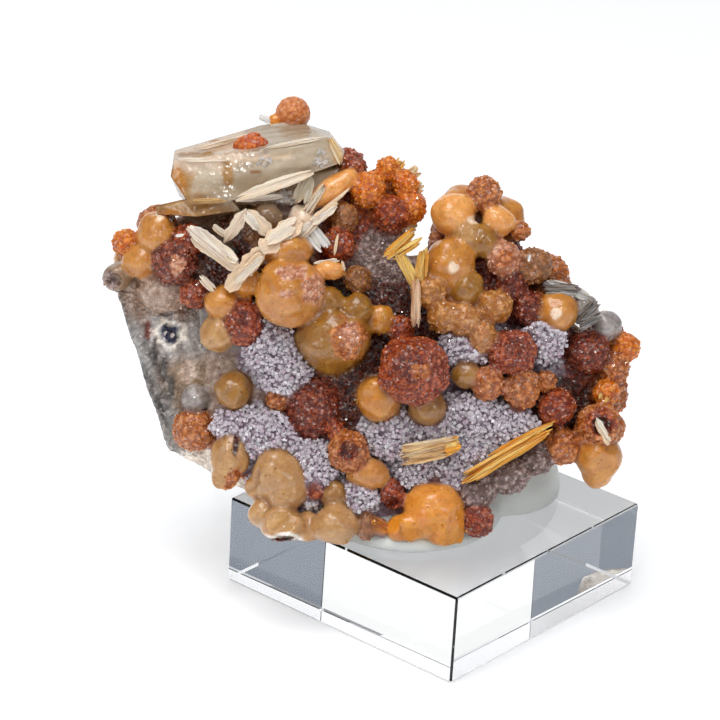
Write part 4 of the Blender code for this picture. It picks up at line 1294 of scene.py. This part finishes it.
# %% The blades of the model, a piece for each node
BLADES = {
    "celestite_lath_upper": (
        Blade((-17.4, 20.2, 5.4), (-5.4, 24.3, 2.2), 1.1, 0.8, "cream", 2),
    ),
    "celestite_lath_middle": (
        Blade((-6.8, 17.2, 4.6), (-2.6, 20.2, 2.6), 1.2, 0.7, "cream", 2),
    ),
    "celestite_blade_left": (
        Blade((-22.8, 18.0, 3.4), (-16.0, 12.6, 6.0), 1.8, 0.9, "cream", 1),
        Blade((-22.0, 16.2, 3.2), (-15.6, 11.6, 6.0), 1.8, 0.9, "cream", 1),
        Blade((-22.0, 17.4, 3.9), (-16.6, 12.6, 6.5), 1.4, 0.6, "cream", 3),
        Blade((-21.4, 16.0, 3.0), (-18.4, 14.0, 4.6), 1.2, 1.0, "cream", 2),
    ),
    "celestite_chevron": (
        Blade((-14.4, 19.8, 5.6), (-17.6, 14.8, 4.4), 1.5, 0.9, "cream", 1),
        Blade((-15.2, 19.8, 5.8), (-11.0, 15.7, 5.2), 1.7, 0.9, "cream", 1),
        Blade((-14.9, 19.2, 6.1), (-12.8, 16.4, 5.6), 1.0, 0.6, "cream", 2),
    ),
    "celestite_blade_low": (
        Blade((-17.1, 9.2, 5.6), (-12.0, 14.4, 7.2), 2.2, 0.8, "cream", 1),
        Blade((-13.2, 13.8, 7.4), (-7.4, 17.8, 5.4), 2.6, 0.9, "cream", 1),
        Blade((-16.2, 10.0, 6.2), (-12.6, 13.6, 7.4), 1.2, 0.5, "cream", 2),
        Blade((-12.4, 14.8, 7.6), (-8.0, 17.8, 5.9), 1.6, 0.5, "cream", 2),
    ),
    "celestite_fan": (
        Blade((3.4, 13.0, 4.0), (7.6, 16.2, 4.6), 2.2, 1.0, "gold", 7),
        Blade((7.7, 9.8, 3.6), (8.2, 14.4, 5.0), 1.5, 1.0, "gold", 4),
        Blade((7.4, 9.2, 3.6), (4.8, 14.0, 4.6), 1.4, 1.0, "gold", 4),
        Blade((7.4, 11.0, 4.2), (7.0, 4.4, 5.6), 1.2, 0.9, "blush", 3),
    ),
    "celestite_lath_long": (
        Blade((13.1, -15.6, 6.6), (24.2, -9.0, 4.4), 1.9, 1.2, "gold", 6),
        Blade((16.8, -12.6, 5.6), (25.0, -8.2, 3.8), 1.1, 0.9, "gold", 3),
    ),
    "celestite_bundle": (
        Blade((5.0, -11.8, 7.0), (12.6, -10.2, 7.2), 1.7, 1.3, "peach", 5),
        Blade((5.4, -12.9, 6.6), (12.4, -11.6, 7.0), 1.5, 1.3, "peach", 5),
        Blade((10.6, -11.4, 7.2), (12.8, -10.6, 7.4), 1.9, 1.0, "gold", 4),
    ),
    "celestite_needle": (
        Blade((30.1, -7.2, 3.4), (32.1, -10.8, 4.2), 0.9, 0.8, "cream", 2),
    ),
    "celestite_fan_right": (
        Blade((27.7, 5.0, 0.2), (30.4, 7.6, 1.2), 1.4, 1.0, "grey", 6),
        Blade((28.0, 4.2, 0.4), (31.0, 5.8, 1.2), 1.3, 1.0, "grey", 6),
    ),
    "celestite_clear_right": (
        Blade((23.6, 9.2, 0.6), (28.4, 9.0, 0.6), 1.6, 1.4, "grey", 3),
        Blade((24.0, 10.2, 0.2), (29.8, 7.8, -0.6), 1.2, 1.6, "white", 3),
    ),
}

# %% Loose blades, which are too small to be in the model
LOOSE_BLADES = {
    "celestite_ridges": (
        Blade((-12.4, 27.1, 2.7), (-3.9, 28.6, 1.5), 0.4, 0.5, "cream", 2),
        Blade((-23.8, 25.7, 1.9), (-16.4, 25.7, 2.6), 0.4, 0.5, "cream", 2),
        Blade((-22.6, 26.6, 0.6), (-12.6, 29.2, -2.6), 0.4, 0.5, "cream", 2),
        Blade((-3.9, 28.5, 1.4), (-2.3, 25.2, 1.2), 0.9, 0.6, "peach", 3),
        Blade((-11.8, 30.0, -4.6), (-8.2, 30.3, -5.2), 0.6, 0.5, "cream", 3),
        Blade((-12.9, 31.2, -5.6), (-10.7, 30.4, -5.6), 0.9, 0.5, "white", 2),
        Blade((-21.6, 20.3, 3.1), (-17.2, 20.5, 3.7), 0.5, 0.5, "tan", 2),
        Blade((-8.4, 20.2, 2.4), (-6.6, 23.6, 2.2), 1.3, 0.6, "clear", 2),
        Blade((-6.9, 20.0, 2.4), (-6.2, 23.8, 2.0), 0.8, 0.6, "clear", 2),
        Blade((-16.0, 20.4, 2.8), (-9.0, 21.2, 2.2), 0.6, 0.5, "cream", 2),
    ),
    "celestite_shards": (
        Blade((-19.0, 17.4, 3.0), (-17.0, 15.7, 3.6), 0.8, 0.5, "cream", 2),
        Blade((-20.6, 10.7, 3.6), (-18.6, 8.8, 4.2), 1.0, 0.5, "cream", 3),
        Blade((-23.7, 15.9, 3.3), (-22.5, 16.1, 3.5), 0.35, 0.4, "white", 1),
        Blade((-2.8, 16.3, 3.6), (-3.3, 13.3, 4.2), 0.4, 0.4, "cream", 1),
        Blade((21.9, 13.6, 1.9), (21.5, 12.4, 2.2), 0.35, 0.4, "white", 1),
        Blade((-6.9, 17.2, 3.2), (-4.6, 14.2, 3.6), 2.4, 0.8, "white", 5),
        Blade((-8.0, 15.6, 4.6), (-5.2, 18.4, 3.6), 1.5, 0.8, "cream", 4),
        Blade((-7.3, 18.4, 2.2), (-4.4, 22.6, 2.0), 0.9, 0.8, "cream", 3),
        Blade((-6.4, 17.8, 2.6), (-1.2, 22.2, 1.6), 0.5, 0.6, "cream", 2),
        Blade((-6.0, 12.3, 5.0), (-2.4, 12.9, 4.8), 0.5, 0.5, "cream", 2),
        Blade((-2.4, 12.9, 4.8), (-1.9, 11.2, 4.8), 0.4, 0.5, "cream", 1),
    ),
    "celestite_fringe": (
        Blade((3.4, 23.4, -2.4), (5.6, 25.8, -3.0), 1.4, 0.7, "gold", 4),
        Blade((4.6, 22.6, -2.2), (7.6, 24.4, -2.6), 1.6, 0.7, "peach", 5),
        Blade((5.4, 21.4, -2.0), (8.2, 22.4, -2.6), 1.8, 0.7, "peach", 5),
        Blade((5.4, 20.0, -1.8), (8.2, 20.4, -2.4), 1.8, 0.7, "gold", 5),
        Blade((5.4, 18.6, -1.4), (7.8, 18.3, -2.0), 1.6, 0.7, "peach", 5),
        Blade((5.0, 17.6, -1.0), (7.3, 16.9, -1.6), 1.2, 0.7, "peach", 4),
        Blade((31.0, -5.2, 0.8), (32.2, -3.2, 0.2), 1.6, 0.7, "gold", 5),
    ),
}

# %% Make a piece of each group of blades
blades = []
for number, (name, made_of) in enumerate({**BLADES, **LOOSE_BLADES}.items()):
    nodes = () if name in LOOSE_BLADES else (name,)
    blades.append(blade_piece(name.replace("celestite", "splinters"), nodes, made_of, number))

# %% [markdown]
# ## The ball on top and the dome
#
# Two small smithsonite growths sit on the tablet: a neat sugary ball at the very top and a drusy
# dome on its front edge. They are made as the crust is, only in finer cells.

# %% The ball and the dome
TOP_BALL = (
    Lump(-8.6, 31.6, -6.6, 2.2, "copper"),
    Lump(-10.9, 30.6, -6.2, 1.0, "amber"),
)
DOME = (
    Lump(-13.9, 27.4, 0.2, 1.5, "ember", wide=1.6),
    Lump(-14.9, 27.7, 0.5, 1.0, "ember"),
    Lump(-12.8, 27.6, 0.4, 1.1, "ember"),
    Lump(-13.7, 28.1, -0.2, 1.2, "ember"),
)
FINE_CELL = 0.14 * MM
FINE_KNOBS_PER_MM = 1.7
FINE_KNOB_RELIEF = 0.12
FINE_BUMP_RELIEF = 0.05
FINE_GRAIN_RELIEF = 0.03


def small_growth(name, node, lumps, seed):
    """A finely remeshed and painted growth of a few lumps."""
    shape = bmesh.new()
    for lump in lumps:
        add_lump(shape, lump)
    made = remeshed(thing(name, shape), FINE_CELL)
    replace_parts(made, node)
    places = mesh_places(made.data)
    rows = blended(places, lumps, (Spot(0.0, 0.0, lumps[0].finish),))
    draw = np.random.default_rng(seed)
    grain = draw.uniform(-1.0, 1.0, len(places))
    bumps = rippled(places, 2.4)
    knobs = knobbly(places, FINE_KNOBS_PER_MM)
    # The knob tops are painted towards the lighter colour as painted light, and bumps and grain vary the
    # tone.
    paint(made.data, rows, np.clip(0.1 + 0.6 * knobs + 0.4 * bumps + 0.2 * grain, 0.0, 1.0))
    relieved(made.data, (FINE_KNOB_RELIEF * (knobs - KNOB_LEVEL) + FINE_BUMP_RELIEF * bumps
                         + FINE_GRAIN_RELIEF * grain) * rows[:, 6] * MM)
    facet(made.data)
    print(name, len(made.data.polygons), "faces")
    return made


top_ball = small_growth("smithsonite_top_ball", "smithsonite_ball_top", TOP_BALL, 31)
dome = small_growth("smithsonite_top_dome", "smithsonite_dome", DOME, 32)

# %% [markdown]
# ## Putty
#
# The putty was pressed flat under the stone by hand, so it is a smooth soft pad with a rounded rim.

# %% The putty pads
Pad = namedtuple("Pad", "place length depth height")
PUTTY_PADS = (
    Pad((-4.0, -2.0, 12.3), 12.6, 13.4, 4.0),
    Pad((8.2, 6.0, 12.3), 8.2, 9.4, 8.5),
)
PUTTY_CELL = 0.5 * MM
PUTTY_RELIEF = 0.25
BLOCK_TOP = 12.0 * MM
PUTTY_FOOT = BLOCK_TOP + 0.02 * MM

shape = bmesh.new()
for pad in PUTTY_PADS:
    size = Matrix.Diagonal((pad.length * MM, pad.depth * MM, pad.height * MM, 1.0))
    place = Matrix.Translation(Vector(pad.place) * MM) @ size
    bmesh.ops.create_icosphere(shape, subdivisions=5, radius=1.0, matrix=place)
putty = remeshed(thing("putty_pads", shape), PUTTY_CELL, smoothing=4)
cut_below(putty, PUTTY_FOOT)
places = mesh_places(putty.data)
level = ramp(places[:, 2], BLOCK_TOP, MM)
relieved(putty.data, PUTTY_RELIEF * rippled(places, 0.3) * level * MM)
smoothed(putty.data)
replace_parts(putty, "putty")
print("putty:", len(putty.data.polygons), "faces")

# %% [markdown]
# ## Materials
#
# The skins carry their own colours in the tint attribute, so a stone's material only has to vary
# them grain by grain, paint a pale glint on a few sugary grains, and set the gloss. Where the sugar
# attribute is high the grains stand out and the waxy gloss is gone. The sown crystals, the rock and
# the tablet use the same recipe with other numbers. The blades have fibres instead of grains.

# %% Shader nodes and the links between them
def shader_node(tree, kind, **settings):
    """A shader node of a kind, with settings such as operation or data_type, and plain input values."""
    made = tree.nodes.new("ShaderNode" + kind)
    for label, value in settings.items():
        if hasattr(made, label):
            setattr(made, label, value)
        else:
            made.inputs[label.replace("_", " ")].default_value = value
    return made


def scaled_by(tree, factor):
    """A shader node that multiplies its first value by a plain number."""
    made = shader_node(tree, "Math", operation="MULTIPLY")
    made.inputs[1].default_value = factor
    return made


def wire(tree, *links):
    """Links shader nodes. Each link is a node and its output, then a node and its input."""
    for source, outlet, target, inlet in links:
        tree.links.new(source.outputs[outlet], target.inputs[inlet])


# %% Grains: how light each little crystal is, how high it stands, and which few get a painted glint
grains = bpy.data.node_groups.new("grains", "ShaderNodeTree")
grains.interface.new_socket("Per Metre", in_out="INPUT", socket_type="NodeSocketFloat")
for label in ("Shade", "Height", "Glint"):
    grains.interface.new_socket(label, in_out="OUTPUT", socket_type="NodeSocketFloat")
start = grains.nodes.new("NodeGroupInput")
end = grains.nodes.new("NodeGroupOutput")
where = shader_node(grains, "TexCoord")
cells = shader_node(grains, "TexVoronoi")
soft = shader_node(grains, "TexNoise", Detail=3.0)
halved = scaled_by(grains, 0.45)
apart = shader_node(grains, "SeparateColor")
glint = shader_node(grains, "MapRange", From_Min=0.90, From_Max=0.96)
shade = shader_node(grains, "Math", operation="ADD")
wire(
    grains,
    (where, "Object", cells, "Vector"),
    (where, "Object", soft, "Vector"),
    (start, "Per Metre", cells, "Scale"),
    (start, "Per Metre", halved, 0),
    (halved, 0, soft, "Scale"),
    (cells, "Color", apart, "Color"),
    (apart, "Red", glint, "Value"),
    (apart, "Green", shade, 0),
    (soft, "Fac", shade, 1),
    (shade, 0, end, "Shade"),
    (cells, "Distance", end, "Height"),
    (glint, "Result", end, "Glint"),
)
print("grains:", len(grains.nodes), "nodes")

# %% The stone finish, from tint, sugar and grains
SHADE_TOP = 1.7
# The pale colour of the painted glints.
GLINT_COLOUR = (0.93, 0.80, 0.74, 1.0)


def dressed(name, per_metre, contrast, glints=0.0, bump_mm=0.0, sugar_bump=0.0, wet=None, **sockets):
    """A stone finish. Contrast is how much the grains' lightness varies, glints how bright the few
    are, sugar_bump how much of the bump is on sugary parts only, and wet gives a socket its number
    where the skin is smooth and where it is sugary."""
    made = material(name, **sockets)
    tree = made.node_tree
    shader = tree.nodes["Principled BSDF"]
    tint = shader_node(tree, "Attribute", attribute_name="tint")
    sugar = shader_node(tree, "Attribute", attribute_name="sugar")
    grain = shader_node(tree, "Group", node_tree=grains)
    grain.inputs["Per Metre"].default_value = per_metre
    lighter = shader_node(tree, "MapRange", From_Max=SHADE_TOP, To_Min=1.0 - contrast, To_Max=1.0 + contrast)
    shaded = shader_node(tree, "VectorMath", operation="SCALE")
    # Painted glints: a few grains on sugary parts are mixed towards the pale glint colour.
    pale = shader_node(tree, "Mix", data_type="RGBA", B=GLINT_COLOUR)
    gated = shader_node(tree, "Math", operation="MULTIPLY")
    faded = scaled_by(tree, glints)
    wire(
        tree,
        (grain, "Shade", lighter, "Value"),
        (tint, "Color", shaded, 0),
        (lighter, "Result", shaded, "Scale"),
        (shaded, "Vector", pale, "A"),
        (grain, "Glint", gated, 0),
        (sugar, "Fac", gated, 1),
        (gated, 0, faded, 0),
        (faded, 0, pale, "Factor"),
        (pale, "Result", shader, "Base Color"),
    )
    if bump_mm:
        raised = shader_node(tree, "Math", operation="MULTIPLY_ADD")
        raised.inputs[1].default_value = sugar_bump
        raised.inputs[2].default_value = 1.0 - sugar_bump
        height = shader_node(tree, "Math", operation="MULTIPLY")
        bump = shader_node(tree, "Bump", Strength=1.0, Distance=bump_mm * MM)
        wire(
            tree,
            (sugar, "Fac", raised, 0),
            (grain, "Height", height, 0),
            (raised, 0, height, 1),
            (height, 0, bump, "Height"),
            (bump, "Normal", shader, "Normal"),
        )
    for socket, (smooth, sugary) in (wet or {}).items():
        by_sugar = shader_node(tree, "MapRange", To_Min=smooth, To_Max=sugary)
        wire(tree, (sugar, "Fac", by_sugar, "Value"), (by_sugar, "Result", shader, socket))
    return made


# %% The finishes of the stones, the putty and the block
WAX_GLOW = (1.0, 0.4, 0.12)

crust_coat = dressed(
    "smithsonite_crust", 3200.0, 0.16, glints=0.30, bump_mm=0.08, sugar_bump=0.85,
    wet={"Roughness": (0.26, 0.42), "Coat Weight": (0.65, 0.15)}, IOR=1.5, Coat_Roughness=0.07,
    Subsurface_Weight=0.28, Subsurface_Radius=WAX_GLOW, Subsurface_Scale=0.0010,
)
sugar_coat = dressed(
    "smithsonite_sugar", 2200.0, 0.15, Roughness=0.12, IOR=1.55,
    Subsurface_Weight=0.3, Subsurface_Radius=WAX_GLOW, Subsurface_Scale=0.0006,
)
fluorite_coat = dressed(
    "fluorite_glass", 1800.0, 0.12, Roughness=0.04, IOR=1.52, Transmission_Weight=0.45,
)
rock_coat = dressed(
    "grey_rock", 2200.0, 0.45, glints=0.6, bump_mm=0.26, sugar_bump=0.3, Roughness=0.36, IOR=1.6,
)
tablet_coat = dressed(
    "celestite_clear", 1600.0, 0.10, bump_mm=0.04, Roughness=0.16, IOR=1.62, Transmission_Weight=0.45,
)
putty_coat = material(
    "white_putty", colour(232, 236, 230), Roughness=0.45,
    Subsurface_Weight=0.5, Subsurface_Radius=(1.0, 1.0, 0.9), Subsurface_Scale=0.002,
)
acrylic = material(
    "clear_acrylic", (0.985, 0.99, 0.995), Roughness=0.0, IOR=1.49, Transmission_Weight=1.0,
)

# %% The finish of the blades, with streaks that follow each splinter
fibre_coat = material(
    "celestite_fibres", Roughness=0.34, IOR=1.55,
    Subsurface_Weight=0.35, Subsurface_Radius=(1.0, 0.6, 0.3), Subsurface_Scale=0.0009,
)
tree = fibre_coat.node_tree
shader = tree.nodes["Principled BSDF"]
grain = shader_node(tree, "Attribute", attribute_name="grain")
tint = shader_node(tree, "Attribute", attribute_name="tint")
stretch = shader_node(tree, "Mapping", Scale=(0.3, 8.0, 8.0))
fibres = shader_node(tree, "TexNoise", Scale=1.0, Detail=4.0, Roughness=0.6)
lighter = shader_node(tree, "MapRange", From_Min=0.3, From_Max=0.7, To_Min=0.74, To_Max=1.14)
shaded = shader_node(tree, "VectorMath", operation="SCALE")
bump = shader_node(tree, "Bump", Strength=1.0, Distance=0.12 * MM)
wire(
    tree,
    (grain, "Vector", stretch, "Vector"),
    (stretch, "Vector", fibres, "Vector"),
    (fibres, "Fac", lighter, "Value"),
    (tint, "Color", shaded, 0),
    (lighter, "Result", shaded, "Scale"),
    (shaded, "Vector", shader, "Base Color"),
    (fibres, "Fac", bump, "Height"),
    (bump, "Normal", shader, "Normal"),
)


# %% Give every piece its finish
def coat(pieces, finish):
    """Gives every piece in a list one material."""
    for piece in pieces:
        piece.data.materials.clear()
        piece.data.materials.append(finish)


coat([*crust_halves, top_ball, dome], crust_coat)
coat([sugar], sugar_coat)
coat([*fluorite, sparkle], fluorite_coat)
coat([rock], rock_coat)
coat([table], tablet_coat)
coat(blades, fibre_coat)
coat([putty], putty_coat)
coat([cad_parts["acrylic_block"]], acrylic)
print("materials:", ", ".join(item.name for item in bpy.data.materials))
